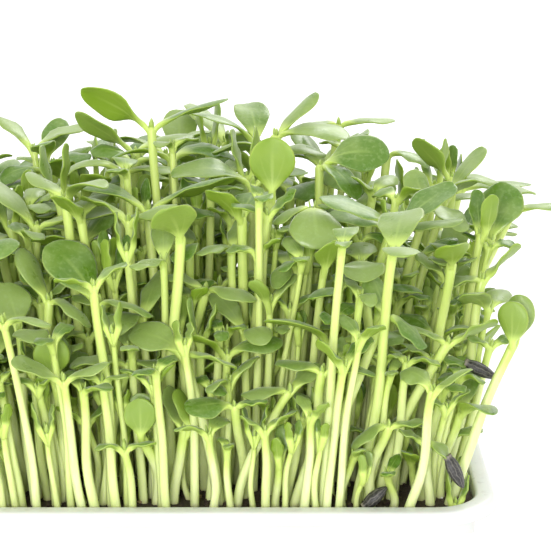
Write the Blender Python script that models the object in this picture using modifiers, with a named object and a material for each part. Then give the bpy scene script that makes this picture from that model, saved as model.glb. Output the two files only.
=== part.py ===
"""Sunflower microgreens in their growing tray.

A plain plastic tray holds a block of soil. Young sunflower shoots stand close together in it: bare pale
stems, each with a pair of thick seed leaves at its top. The shoots stand in tufts, each fused at its own clump
of roots, and each clump stands in a plain hole in the soil. Empty seed hulls still grip some of the leaf tips
or lie on the soil.

Metres, +Z up. The origin is the middle of the tray's flat underside, +X runs along the tray's length.
"""

import math
import random
from collections import namedtuple

import bmesh
import bpy
from mathutils import Vector
from mathutils.bvhtree import BVHTree

MM = 0.001
GAP = 0.4 * MM  # between two pieces that touch
SEED = 41

# Tray, over its rim
TRAY_LENGTH = 184 * MM
TRAY_WIDTH = 134 * MM
TRAY_HEIGHT = 42 * MM
WALL = 1.2 * MM
RIM_OUT = 5 * MM
LIP_DOWN = 4 * MM
LIP_OUT = 0.6 * MM
FLARE = 4 * MM  # how much further out a wall is at its top than at its foot
FOOT_LENGTH = TRAY_LENGTH - 2 * (LIP_OUT + RIM_OUT + FLARE)
FOOT_WIDTH = TRAY_WIDTH - 2 * (LIP_OUT + RIM_OUT + FLARE)
CORNER_RADIUS = 15 * MM
FOOT_RADIUS = 4 * MM
CORNER_SEGMENTS = 4
FOOT_SEGMENTS = 2

# Soil, and the root clumps that stand in it
SOIL_TOP = 39 * MM
COLUMNS, ROWS = 8, 6
COLUMN_SPAN = 146 * MM  # between the first and the last clump's middle
ROW_SPAN = 96 * MM
HOLE_RADIUS = 8.5 * MM
HOLE_DEPTH = 14 * MM
CLUMP_TOP_RADIUS = 7.5 * MM
CLUMP_FOOT_RADIUS = 6 * MM
CLUMP_SINK = 0.8 * MM  # from the soil's surface down to the clump's top
CLUMP_SIDES = 7
ROOT_SPOTS = 4  # places for a stem on one clump
ROOT_RING = 4.2 * MM
ROOT_DEPTH = 7 * MM
SPOT_TURN = 0.125  # of a full turn, where a clump's first spot lies
SPOT_TURN_VARIES = 0.07
EDGE_STEMS, INNER_STEMS = 3, 2  # stems on a clump at the tray's edge, and on one further in

# Stem
STEM_SIDES = 5
STEM_RADIUS = 1.75 * MM
STEM_TOP_RADIUS = 1.4 * MM
STEM_STATIONS = (0.0, 0.36, 0.7, 1.0)
STEM_END = 0.3 * MM  # how far below the top of its leaf pair a stem ends
STRAIGHTNESS = 0.7  # share of the lean that a stem takes evenly from its foot

# Seed leaves
LEAF_STATIONS = (0.14, 0.34, 0.62, 0.87)
STALK_END = 0.05  # share of a leaf's length that is its stalk
STALK_OUT = 1.0 * MM  # from the stem's middle to where a stalk starts
STALK_HALF_WIDTH = 1.2 * MM
WIDEST = 0.58
LEAF_THICKNESS = 1.3 * MM
NODE_HALF_WIDTH = 2.1 * MM  # where the two stalks meet, on top of the stem
NODE_DEPTH = 2.3 * MM
OVAL = 0.8  # how a leaf widens from its stalk: under 1 is fuller, over 1 is slimmer
ROLL_START = 0.25  # share of the length over which a leaf turns to its roll
FLAT = 0.001  # a leaf that arches by less than this many radians is straight

# Seed hull
HULL_LENGTH = 9.5 * MM
HULL_WIDTH = 5.6 * MM
HULL_THICKNESS = 3.4 * MM
HULL_STATIONS = (0.05, 0.25, 0.55, 0.85)
HULL_SIDES = 6
HULL_WIDEST = 0.8  # under 1 moves the widest place towards the foot
HULL_FULLNESS = 0.6

# Drawn shoots, in millimetres and degrees
HEIGHT = (76, 100)  # of the leaves above the soil
LOW_HEIGHT = (38, 66)
LOW_SHARE = 0.3  # of the drawn shoots at the edge that are low
LOWER_AT_ENDS, LOWER_AT_SIDES = 22, 8  # how much less high at the tray's edge
LEAN_TO_ENDS, LEAN_TO_SIDES = 18, 17  # how far out the leaves stand at the tray's edge, for LEANING_HEIGHT
LEANING_HEIGHT = 90
STRAY = 4  # how far the leaves stand from where the rule puts them
BOW = (-3, 3)
OPEN_RISE, OPEN_ARCH, OPEN_LENGTH = (15, 55), (-10, -75), (17, 25)
CLOSED_RISE, CLOSED_ARCH, CLOSED_LENGTH = (72, 84), (-6, 8), (12, 16)
CLOSED_SHARE = 0.1
SLENDERNESS = (0.48, 0.6)  # width as a share of the length
LEAF_TURN = (-25, 25)
LEAF_ROLL = (-25, 25)

# How shoots keep clear of each other
CLEARANCE = 0.35 * MM
TRIES = 60
SHIFT = (-5, 5)  # the most that a listed shoot's leaves move, in millimetres
HEADING_CHANGE, RISE_CHANGE, DROOP_CHANGE = (-20, 20), (-10, 10), (-14, 14)  # and turn, in degrees
MIXED_ORDER = (5, 3, 11)  # takes the clumps in an order that jumps about the tray

UNION_SOLVER = "MANIFOLD"  # quick, and sound on these many small closed bodies

Leaf = namedtuple("Leaf", "heading rise droop length width roll", defaults=(0,))
Shoot = namedtuple("Shoot", "cell root top bow leaves hull")

# The shoots that stand out, each as its clump (column, row), the middle of its leaf pair in millimetres, and its
# two leaves: the heading in degrees from +X towards +Y, the rise at the stalk, the rise at the tip (droop), the
# length and width in millimetres, and the roll about the leaf's own length.
STANDING_OUT = (
    # the tallest ones, in the middle of the tray and behind
    ((3, 2), (-15, -5, 148), Leaf(180, 42, 15, 24, 13, 50), Leaf(2, 32, 8, 25, 12, -12)),
    ((3, 3), (-22, 20, 136), Leaf(178, 40, 24, 22, 12, 40), Leaf(20, 30, -10, 20, 11)),
    ((2, 2), (-23, 2, 133), Leaf(184, 40, -70, 27, 11), Leaf(-14, 25, -30, 18, 10)),
    ((3, 1), (-15, -25, 126), Leaf(10, 36, 0, 28, 14, -22), Leaf(174, 40, -12, 26, 12)),
    ((4, 2), (17, -10, 131), Leaf(186, 36, -26, 26, 13, -15), Leaf(24, 24, -14, 18, 12)),
    ((4, 1), (23, -35, 133), Leaf(-90, 86, 88, 17, 14), Leaf(90, 66, 52, 17, 12)),
    ((4, 3), (18, 25, 138), Leaf(190, 52, -4, 24, 12), Leaf(100, 50, 0, 22, 12)),
    ((4, 3), (24, 9, 143), Leaf(28, 52, 28, 19, 9), Leaf(-8, 24, -28, 24, 12, 15)),
    ((5, 4), (45, 30, 143), Leaf(0, 14, -10, 18, 9), Leaf(178, 12, -44, 11, 8)),
    ((6, 3), (61, 25, 134), Leaf(170, 32, -30, 15, 10), Leaf(-10, 14, -50, 15, 11)),
    ((5, 2), (38, -5, 136), Leaf(-4, 36, -26, 22, 14, 48), Leaf(-42, -6, -62, 18, 10)),
    # the right-hand side, leaning out
    ((7, 3), (82, 15, 128), Leaf(178, 52, 40, 17, 11, 42), Leaf(-10, 12, -30, 15, 11)),
    ((6, 2), (79, 0, 126), Leaf(24, 56, 38, 18, 10), Leaf(-60, 46, 4, 15, 11)),
    ((7, 4), (96, 22, 120), Leaf(8, 22, -20, 14, 10), Leaf(192, 18, -24, 15, 10)),
    ((7, 2), (92, -10, 113), Leaf(62, 70, 46, 19, 16), Leaf(200, 50, 6, 16, 10)),
    ((7, 3), (101, 6, 119), Leaf(0, 16, -6, 16, 9), Leaf(150, 20, -10, 13, 9)),
    ((6, 2), (71, -16, 125), Leaf(120, 62, 48, 12, 10), Leaf(-40, 2, -52, 16, 11)),
    ((5, 1), (59, -30, 120), Leaf(180, 42, -22, 20, 11, -15), Leaf(2, 18, 2, 21, 9)),
    ((6, 1), (50, -40, 113), Leaf(-90, 14, -42, 14, 13), Leaf(92, 24, -10, 15, 11)),
    ((5, 1), (34, -32, 127), Leaf(-90, 0, -74, 18, 16), Leaf(182, 4, -50, 13, 10)),
    ((7, 1), (88, -25, 104), Leaf(28, 46, 18, 15, 14, -38), Leaf(192, 6, -32, 13, 9)),
    ((7, 0), (96, -45, 89), Leaf(64, 82, 76, 14, 10), Leaf(244, 84, 88, 13, 10)),
    # the front row, from right to left
    ((6, 0), (76, -47, 90), Leaf(8, 32, 8, 15, 12, -30), Leaf(182, 36, 6, 12, 7)),
    ((5, 0), (57, -53, 100), Leaf(122, 60, 48, 13, 9), Leaf(-20, -24, -56, 15, 10)),
    ((5, 0), (48, -46, 94), Leaf(182, 36, -22, 19, 11, -15), Leaf(64, 40, 10, 14, 10)),
    ((5, 0), (41, -54, 84), Leaf(176, 16, -10, 14, 9), Leaf(-6, 6, -16, 15, 8)),
    ((6, 0), (58, -57, 67), Leaf(186, -8, -60, 13, 9), Leaf(-4, 8, 0, 10, 6)),
    ((4, 0), (30, -57, 76), Leaf(186, 10, -22, 14, 10), Leaf(42, 42, 16, 12, 8)),
    ((4, 0), (-7, -56, 88), Leaf(164, 36, -6, 17, 13, -26), Leaf(-16, 2, -30, 16, 12, -18)),
    ((4, 0), (10, -58, 72), Leaf(180, 12, -16, 14, 11, -20), Leaf(2, 22, 8, 9, 6)),
    ((3, 1), (3, -41, 105), Leaf(168, 32, -12, 14, 9), Leaf(-22, 6, -26, 16, 11)),
    ((3, 0), (-16, -58, 64), Leaf(-90, 84, 88, 12, 10), Leaf(90, 78, 84, 12, 9)),
    ((3, 0), (-3, -54, 65), Leaf(150, 62, 74, 13, 9), Leaf(-30, 104, 118, 12, 8)),
    ((2, 0), (-20, -52, 85), Leaf(182, 16, -26, 17, 10), Leaf(0, 4, -12, 10, 6)),
    ((2, 0), (-29, -46, 102), Leaf(152, 60, 28, 23, 17, -22), Leaf(-22, 16, -36, 18, 13, -20)),
    ((1, 0), (-44, -43, 102), Leaf(148, 62, 52, 17, 10), Leaf(-24, 2, -60, 16, 12, -18)),
    ((2, 0), (-41, -54, 80), Leaf(-90, 80, 86, 13, 11), Leaf(90, 74, 70, 12, 10)),
    ((1, 0), (-52, -48, 93), Leaf(124, 66, 44, 15, 13), Leaf(-62, 12, -20, 13, 11)),
    ((1, 1), (-50, -20, 120), Leaf(166, 52, 34, 21, 13), Leaf(4, 12, 2, 26, 13)),
)

# Stunted shoots on the right whose first leaf still holds its hull, in the same form
HULL_HOLDERS = (
    ((7, 0), (68, -56, 60), Leaf(-16, -20, -64, 8, 7), Leaf(170, 30, 10, 8, 5)),
    ((7, 1), (72, -40, 83), Leaf(-6, 0, -26, 10, 7), Leaf(176, 34, 10, 10, 6)),
)

# Hulls that rest on the soil, where there is room between the stems: the place in millimetres, and the heading
# and rise in degrees
RESTING_HULLS = ((54, -57.3, 0, 42), (-21, -38, -20, 0), (62.5, 19, 70, 0), (-62.5, 38, 35, 0))


def cell_middle(cell):
    """Where a clump stands, from its column and row."""
    column, row = cell
    return Vector(
        (
            COLUMN_SPAN * (column / (COLUMNS - 1) - 0.5),
            ROW_SPAN * (row / (ROWS - 1) - 0.5),
            SOIL_TOP,
        )
    )


def root_spot(cell, spot):
    """Where one of a clump's stems stands: on a ring round its middle, turned from clump to clump."""
    column, row = cell
    start = SPOT_TURN + SPOT_TURN_VARIES * math.sin(3 * column + 5 * row)
    turn = 2 * math.pi * (spot / ROOT_SPOTS + start)
    return cell_middle(cell) + ROOT_RING * Vector((math.cos(turn), math.sin(turn), 0))


def root_of(spot, top):
    """The lower end of a stem: under its spot and back against its lean, so that it comes up at the spot."""
    back = STRAIGHTNESS * ROOT_DEPTH / (top.z - spot.z + ROOT_DEPTH)
    return spot - Vector(((top.x - spot.x) * back, (top.y - spot.y) * back, ROOT_DEPTH))


# ---------------------------------------------------------------- the forms


def lofted(rings, first_tip=None, last_tip=None):
    """(points, triangles) of a closed body through rings of equally many points. An end is a cap, or a tip."""
    count = len(rings[0])
    points = [p for ring in rings for p in ring]
    triangles = []
    for i in range(len(rings) - 1):
        for j in range(count):
            a = i * count + j
            b = i * count + (j + 1) % count
            triangles += [(a, b + count, b), (a, a + count, b + count)]
    for start, tip in ((0, first_tip), (len(points) - count, last_tip)):
        if tip is None:
            triangles += [(start, start + k, start + k + 1) for k in range(1, count - 1)]
        else:
            points.append(tip)
            triangles += [(start + j, start + (j + 1) % count, len(points) - 1) for j in range(count)]
    return points, triangles


def stem_point(shoot, t):
    """A point on the stem's centre line, from 0 at the root to 1 at the leaves."""
    across = shoot.top - Vector((0, 0, STEM_END)) - shoot.root
    reach = STRAIGHTNESS * t + (1 - STRAIGHTNESS) * t * t
    place = shoot.root + Vector((across.x * reach, across.y * reach, across.z * t))
    return place + shoot.bow * math.sin(math.pi * t) ** 2


def stem_body(shoot, swell=0.0):
    """The stem as a tapered, bent rod. swell thickens it, for measuring clearance."""
    rings = []
    for t in STEM_STATIONS:
        radius = STEM_RADIUS + (STEM_TOP_RADIUS - STEM_RADIUS) * t + swell
        middle = stem_point(shoot, t)
        rings.append(
            [
                middle + radius * Vector((math.cos(turn), math.sin(turn), 0))
                for turn in (2 * math.pi * k / STEM_SIDES for k in range(STEM_SIDES))
            ]
        )
    return lofted(rings)


def half_width(share, width):
    """A leaf's half width at a share of its length: a narrow stalk, an oval blade and a round tip."""
    if share >= WIDEST:
        past = (share - WIDEST) / (1 - WIDEST)
        return width / 2 * math.sqrt(max(0.0, 1 - past * past))
    along = max(0.0, (share - STALK_END) / (WIDEST - STALK_END))
    return STALK_HALF_WIDTH + (width / 2 - STALK_HALF_WIDTH) * math.sin(along * math.pi / 2) ** OVAL


def leaf_frame(leaf, share):
    """(offset from the stalk's root, direction, side, normal) at a share of the leaf's length, on an even arch."""
    heading, rise, droop = (math.radians(a) for a in (leaf.heading, leaf.rise, leaf.droop))
    length = leaf.length * MM
    turned = droop - rise
    pitch = rise + turned * share
    if abs(turned) < FLAT:
        out, up = length * share * math.cos(rise), length * share * math.sin(rise)
    else:
        out = length * (math.sin(pitch) - math.sin(rise)) / turned
        up = length * (math.cos(rise) - math.cos(pitch)) / turned
    ahead = Vector((math.cos(heading), math.sin(heading), 0))
    direction = ahead * math.cos(pitch) + Vector((0, 0, math.sin(pitch)))
    side = Vector((-ahead.y, ahead.x, 0))
    normal = direction.cross(side)
    roll = math.radians(leaf.roll) * min(1.0, share / ROLL_START)
    rolled = side * math.cos(roll) + normal * math.sin(roll)
    return ahead * out + Vector((0, 0, up)), direction, rolled, direction.cross(rolled)


def blade_ring(middle, side, normal, half, depth, swell):
    """A blade's section: flat on top and deepest in the middle. Swelled, it stands out on top as well."""
    across = side * (half + 2 * swell)
    ring = [middle - across, middle - normal * (depth + 2 * swell), middle + across]
    return ring + [middle + normal * 2 * swell] if swell else ring


def leaf_rings(leaf, root, swell):
    """(rings, tip) of a seed leaf, as a thin arched lens."""
    ahead = Vector((math.cos(math.radians(leaf.heading)), math.sin(math.radians(leaf.heading)), 0))
    start = root + ahead * STALK_OUT
    rings = []
    for share in LEAF_STATIONS:
        offset, _, side, normal = leaf_frame(leaf, share)
        half = half_width(share, leaf.width * MM)
        rings.append(blade_ring(start + offset, side, normal, half, LEAF_THICKNESS, swell))
    offset, direction, _, _ = leaf_frame(leaf, 1.0)
    return rings, start + offset + direction * 2 * swell


def pair_body(shoot, swell=0.0):
    """Both seed leaves as one body, from tip to tip over the top of the stem."""
    near, far = (leaf_rings(leaf, shoot.top, swell) for leaf in shoot.leaves)
    one, other = (math.radians(leaf.heading) for leaf in shoot.leaves)
    side = Vector((math.sin(one) - math.sin(other), math.cos(other) - math.cos(one), 0)).normalized()
    node = blade_ring(shoot.top, side, Vector((0, 0, 1)), NODE_HALF_WIDTH, NODE_DEPTH, swell)
    back = [[ring[2], ring[1], ring[0], *ring[3:]] for ring in reversed(near[0])]
    return lofted(back + [node] + far[0], near[1], far[1])


def hull_body(foot, direction, side):
    """A seed hull from its blunt foot along a direction: flattened, widest near the middle, with a pointed end."""
    normal = direction.cross(side)
    rings = []
    for share in HULL_STATIONS:
        swell = math.sin(math.pi * share**HULL_WIDEST) ** HULL_FULLNESS
        ring = []
        for k in range(HULL_SIDES):
            turn = 2 * math.pi * k / HULL_SIDES
            across = side * (HULL_WIDTH / 2 * math.cos(turn)) + normal * (HULL_THICKNESS / 2 * math.sin(turn))
            ring.append(foot + direction * (HULL_LENGTH * share) + across * swell)
        rings.append(ring)
    return lofted(rings, last_tip=foot + direction * HULL_LENGTH)


def held_hull(shoot):
    """The hull at the tip of a shoot's first leaf."""
    leaf = shoot.leaves[0]
    offset, direction, side, _ = leaf_frame(leaf, 1.0)
    heading = math.radians(leaf.heading)
    stalk = Vector((math.cos(heading), math.sin(heading), 0)) * STALK_OUT
    return hull_body(shoot.top + stalk + offset + direction * GAP, direction, side)


def resting_hull(x, y, heading, rise):
    """A hull that lies on the soil, or stands with its foot on it."""
    turn, tilt = math.radians(heading), math.radians(rise)
    ahead = Vector((math.cos(turn), math.sin(turn), 0))
    direction = ahead * math.cos(tilt) + Vector((0, 0, math.sin(tilt)))
    middle = Vector((x * MM, y * MM, SOIL_TOP + GAP))
    middle.z += HULL_LENGTH / 2 * math.sin(tilt) + HULL_THICKNESS / 2 * math.cos(tilt)
    return hull_body(middle - direction * HULL_LENGTH / 2, direction, Vector((-ahead.y, ahead.x, 0)))


def shoot_bodies(shoot, swell=0.0):
    """The closed bodies that fuse into one shoot: the stem and its pair of leaves."""
    return [stem_body(shoot, swell), pair_body(shoot, swell)]


# ---------------------------------------------------------------- where the shoots stand


def tree_of(bodies):
    """A search tree over the surface of some bodies. It is in millimetres, which suits its own tolerance."""
    points, triangles = [], []
    for body_points, body_triangles in bodies:
        start = len(points)
        points += [p / MM for p in body_points]
        triangles += [tuple(start + k for k in t) for t in body_triangles]
    return BVHTree.FromPolygons(points, triangles)


class Stand:
    """The shoots placed so far. A new one is kept only where it is clear of all of them."""

    def __init__(self, draw):
        self.draw = draw
        self.shoots = []
        self.trees = [tree_of([resting_hull(*place)]) for place in RESTING_HULLS]
        self.free = {(c, r): list(range(ROOT_SPOTS)) for c in range(COLUMNS) for r in range(ROWS)}

    def place(self, cell, spot, versions):
        """Keeps the first of these versions that is clear, and says whether there was one."""
        for shoot in versions:
            held = [held_hull(shoot)] if shoot.hull else []
            tree = tree_of(shoot_bodies(shoot, CLEARANCE) + held)
            if not any(tree.overlap(other) for other in self.trees):
                self.shoots.append(shoot)
                self.trees.append(tree_of(shoot_bodies(shoot) + held))
                self.free[cell].remove(spot)
                return True
        return False


def changed(leaf, draw, amount):
    """The leaf a little differently turned."""
    return leaf._replace(
        heading=leaf.heading + draw.uniform(*HEADING_CHANGE) * amount,
        rise=leaf.rise + draw.uniform(*RISE_CHANGE) * amount,
        droop=leaf.droop + draw.uniform(*DROOP_CHANGE) * amount,
    )


def standing_out(stand, entry, hull):
    """Places one of the listed shoots, bent a little where it would cross another."""
    cell, (x, y, z), *leaves = entry
    wanted = Vector((x, y, z)) * MM
    spots = sorted(stand.free[cell], key=lambda s: (root_spot(cell, s) - wanted).xy.length)

    def versions(spot):
        for k in range(TRIES):
            amount = k / TRIES
            shift = Vector([stand.draw.uniform(*SHIFT) * MM * amount for _ in range(3)])
            bow = Vector((stand.draw.uniform(*BOW), stand.draw.uniform(*BOW), 0)) * MM
            turned = [changed(leaf, stand.draw, amount) for leaf in leaves]
            top = wanted + shift
            yield Shoot(cell, root_of(root_spot(cell, spot), top), top, bow, turned, hull)

    return any(stand.place(cell, spot, versions(spot)) for spot in spots)


def drawn_pair(draw):
    """A drawn pair of leaves: mostly open and arched, sometimes still nearly closed."""
    heading = draw.uniform(0, 360)
    rises, arches, lengths, looseness = OPEN_RISE, OPEN_ARCH, OPEN_LENGTH, 1
    if draw.random() < CLOSED_SHARE:
        rises, arches, lengths, looseness = CLOSED_RISE, CLOSED_ARCH, CLOSED_LENGTH, 0
    pair = []
    for side in (0, 180):
        rise = draw.uniform(*rises)
        droop = rise + draw.uniform(*arches)
        length = draw.uniform(*lengths)
        width = length * draw.uniform(*SLENDERNESS)
        turn = heading + side + draw.uniform(*LEAF_TURN) * looseness
        pair.append(Leaf(turn, rise, droop, length, width, draw.uniform(*LEAF_ROLL) * looseness))
    return pair


def drawn_shoot(draw, cell, spot, low):
    """A drawn shoot on one of a clump's root spots. The further out it stands, the more it leans out."""
    foot = root_spot(cell, spot)
    height = draw.uniform(*(LOW_HEIGHT if low else HEIGHT))
    outward = Vector((foot.x / (TRAY_LENGTH / 2), foot.y / (TRAY_WIDTH / 2), 0))
    height -= LOWER_AT_ENDS * outward.x**2 + LOWER_AT_SIDES * outward.y**2
    lean = Vector((outward.x * LEAN_TO_ENDS, outward.y * LEAN_TO_SIDES, 0)) * (height / LEANING_HEIGHT)
    stray = Vector((draw.gauss(0, STRAY), draw.gauss(0, STRAY), 0))
    top = foot + (lean + stray + Vector((0, 0, height))) * MM
    bow = Vector((draw.uniform(*BOW), draw.uniform(*BOW), 0)) * MM
    return Shoot(cell, root_of(foot, top), top, bow, drawn_pair(draw), False)


def grown_stand():
    """All the shoots, the ones that stand out first and then drawn ones until every clump has its share."""
    stand = Stand(random.Random(SEED))
    for entry in STANDING_OUT:
        standing_out(stand, entry, False)
    for entry in HULL_HOLDERS:
        standing_out(stand, entry, True)
    column_step, row_step, count = MIXED_ORDER
    for cell in sorted(stand.free, key=lambda c: (c[0] * column_step + c[1] * row_step) % count):
        edge = cell[0] in (0, COLUMNS - 1) or cell[1] in (0, ROWS - 1)
        stems = EDGE_STEMS if edge else INNER_STEMS
        for spot in list(stand.free[cell]):
            if ROOT_SPOTS - len(stand.free[cell]) >= stems:
                break
            low = edge and stand.draw.random() < LOW_SHARE
            versions = (drawn_shoot(stand.draw, cell, spot, low) for _ in range(TRIES))
            stand.place(cell, spot, versions)
    return stand.shoots


# ---------------------------------------------------------------- Blender objects


def cleared_scene():
    """Empties the scene, and makes the part's collection and the cutters'."""
    for old in list(bpy.data.objects):
        bpy.data.objects.remove(old, do_unlink=True)
    made = []
    for name in ("sunflower_microgreens_tray", "cutters"):
        collection = bpy.data.collections.new(name)
        bpy.context.scene.collection.children.link(collection)
        made.append(collection)
    return made


def material(name, colour, roughness):
    """A plain Principled material."""
    made = bpy.data.materials.new(name)
    made.use_nodes = True
    shader = made.node_tree.nodes["Principled BSDF"]
    shader.inputs["Base Color"].default_value = (*colour, 1)
    shader.inputs["Roughness"].default_value = roughness
    shader.inputs["Metallic"].default_value = 0.0
    return made


def object_from(bm, name, collection, look=None):
    """The bmesh as an object in that collection."""
    mesh = bpy.data.meshes.new(name)
    bm.to_mesh(mesh)
    bm.free()
    made = bpy.data.objects.new(name, mesh)
    collection.objects.link(made)
    if look is not None:
        mesh.materials.append(look)
    return made


def object_of_body(body, name, collection, look=None):
    """A (points, triangles) body as an object with its faces pointing out."""
    points, triangles = body
    bm = bmesh.new()
    corners = [bm.verts.new(p) for p in points]
    for t in triangles:
        bm.faces.new([corners[k] for k in t])
    bmesh.ops.recalc_face_normals(bm, faces=bm.faces)
    return object_from(bm, name, collection, look)


def joined(name, first, others):
    """Fuses the others into the first object by one union, and removes them."""
    helpers = bpy.data.collections.new(name + "_helpers")
    bpy.context.scene.collection.children.link(helpers)
    for body in others:
        object_of_body(body, name + "_helper", helpers)
    union = first.modifiers.new("union", "BOOLEAN")
    union.operation = "UNION"
    union.operand_type = "COLLECTION"
    union.collection = helpers
    union.solver = UNION_SOLVER
    evaluated = first.evaluated_get(bpy.context.evaluated_depsgraph_get())
    fused = bpy.data.meshes.new_from_object(evaluated)
    first.modifiers.clear()
    first.data = fused
    for helper in list(helpers.objects):
        bpy.data.objects.remove(helper, do_unlink=True)
    bpy.data.collections.remove(helpers)
    return first


def flared_box(foot_length, foot_width, low, high, flare, corner, foot):
    """A box with walls that flare out, rounded upright edges and a rounded foot."""
    bm = bmesh.new()
    bmesh.ops.create_cube(bm, size=1.0)
    for v in bm.verts:
        above = v.co.z > 0
        grown = 2 * flare if above else 0.0
        v.co = Vector((v.co.x * (foot_length + grown), v.co.y * (foot_width + grown), high if above else low))
    upright = [e for e in bm.edges if abs(e.verts[0].co.z - e.verts[1].co.z) > (high - low) / 2]
    bmesh.ops.bevel(bm, geom=upright, offset=corner, segments=CORNER_SEGMENTS, profile=0.5, affect="EDGES")
    at_foot = [e for e in bm.edges if max(v.co.z for v in e.verts) < low + GAP]
    bmesh.ops.bevel(bm, geom=at_foot, offset=foot, segments=FOOT_SEGMENTS, profile=0.5, affect="EDGES")
    return bm


def extruded_rim(bm, outward, upward, flat_length, flat_width):
    """Grows the open edge outwards and up, square to the rounded rectangle that it follows."""
    edge = [e for e in bm.edges if e.is_boundary]
    grown = bmesh.ops.extrude_edge_only(bm, edges=edge)["geom"]
    for v in (g for g in grown if isinstance(g, bmesh.types.BMVert)):
        nearest = Vector(
            (
                max(-flat_length / 2, min(flat_length / 2, v.co.x)),
                max(-flat_width / 2, min(flat_width / 2, v.co.y)),
                v.co.z,
            )
        )
        v.co += (v.co - nearest).normalized() * outward + Vector((0, 0, upward))


def tray(collection, look):
    """The tray: one thin shell with a flat underside, flared walls and a rim with a lip that turns down."""
    top = TRAY_HEIGHT - WALL
    bm = flared_box(FOOT_LENGTH, FOOT_WIDTH, 0.0, top, FLARE, CORNER_RADIUS, FOOT_RADIUS)
    lid = [f for f in bm.faces if all(v.co.z > top - GAP for v in f.verts)]
    bmesh.ops.delete(bm, geom=lid, context="FACES_ONLY")
    flat_length = FOOT_LENGTH + 2 * FLARE - 2 * CORNER_RADIUS
    flat_width = FOOT_WIDTH + 2 * FLARE - 2 * CORNER_RADIUS
    extruded_rim(bm, RIM_OUT - WALL, 0.0, flat_length, flat_width)
    extruded_rim(bm, LIP_OUT, -LIP_DOWN, flat_length, flat_width)
    made = object_from(bm, "tray", collection, look)
    shell = made.modifiers.new("wall", "SOLIDIFY")
    shell.thickness = WALL
    shell.offset = -1
    shell.use_even_offset = True
    return made


def soil(collection, cutters, look):
    """The block of soil, filling the tray to just below its rim, with a plain hole for each root clump."""
    low = WALL + GAP
    in_from_tray = WALL + 1.5 * GAP
    flare_to = FLARE / TRAY_HEIGHT
    bm = flared_box(
        FOOT_LENGTH - 2 * in_from_tray + 2 * flare_to * low,
        FOOT_WIDTH - 2 * in_from_tray + 2 * flare_to * low,
        low,
        SOIL_TOP,
        flare_to * (SOIL_TOP - low),
        CORNER_RADIUS - in_from_tray,
        FOOT_RADIUS,
    )
    made = object_from(bm, "soil", collection, look)
    for column in range(COLUMNS):
        for row in range(ROWS):
            place = cell_middle((column, row))
            cutter_bm = bmesh.new()
            bmesh.ops.create_cone(
                cutter_bm,
                cap_ends=True,
                segments=CLUMP_SIDES,
                radius1=HOLE_RADIUS,
                radius2=HOLE_RADIUS,
                depth=2 * HOLE_DEPTH,
            )
            cutter = object_from(cutter_bm, f"hole_{column}_{row}", cutters)
            cutter.location = place
            cutter.hide_render = True
            cutter.display_type = "WIRE"
    holes = made.modifiers.new("holes", "BOOLEAN")
    holes.operation = "DIFFERENCE"
    holes.operand_type = "COLLECTION"
    holes.collection = cutters
    return made


def tuft(number, cell, shoots, collection, look):
    """One clump of roots with the shoots that grow from it, fused."""
    depth = HOLE_DEPTH - CLUMP_SINK - GAP
    bm = bmesh.new()
    bmesh.ops.create_cone(
        bm,
        cap_ends=True,
        segments=CLUMP_SIDES,
        radius1=CLUMP_FOOT_RADIUS,
        radius2=CLUMP_TOP_RADIUS,
        depth=depth,
    )
    middle = cell_middle(cell) - Vector((0, 0, CLUMP_SINK + depth / 2))
    bmesh.ops.translate(bm, verts=bm.verts, vec=middle)
    name = f"shoots_{number:02d}"
    clump = object_from(bm, name, collection, look)
    return joined(name, clump, [body for shoot in shoots for body in shoot_bodies(shoot)])


def hulls(shoots, collection, look):
    """The hulls: the held ones, and the ones that rest on the soil."""
    bodies = [held_hull(shoot) for shoot in shoots if shoot.hull]
    bodies += [resting_hull(*place) for place in RESTING_HULLS]
    for number, body in enumerate(bodies, 1):
        object_of_body(body, f"seed_hull_{number}", collection, look)


def main():
    """Builds the tray, the soil, the tufts of shoots and the hulls."""
    part, cutters = cleared_scene()
    tray(part, material("tray_plastic", (0.9, 0.9, 0.88), 0.35))
    soil(part, cutters, material("soil", (0.05, 0.035, 0.025), 0.95))
    shoots = grown_stand()
    green = material("shoot_green", (0.33, 0.52, 0.16), 0.5)
    cells = sorted({shoot.cell for shoot in shoots}, key=lambda c: (c[1], c[0]))
    for number, cell in enumerate(cells, 1):
        tuft(number, cell, [s for s in shoots if s.cell == cell], part, green)
    hulls(shoots, part, material("hull", (0.03, 0.03, 0.035), 0.5))


main()
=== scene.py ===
"""The looks of the sunflower microgreens tray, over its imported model.

The shoots grow by the part's own rule, so that every finer stem and leaf stands where its coarse one does.
Then more slender shoots grow between them, wherever plain versions of their stem and leaves have room. Each
clump's stems and leaves are two pieces that replace the clump's node. The soil, the tray and the hulls are
replaced one by one.
"""

import math
import random
from collections import namedtuple

import bmesh
import bpy
import numpy as np
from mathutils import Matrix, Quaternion, Vector, noise
from mathutils.bvhtree import BVHTree


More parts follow.
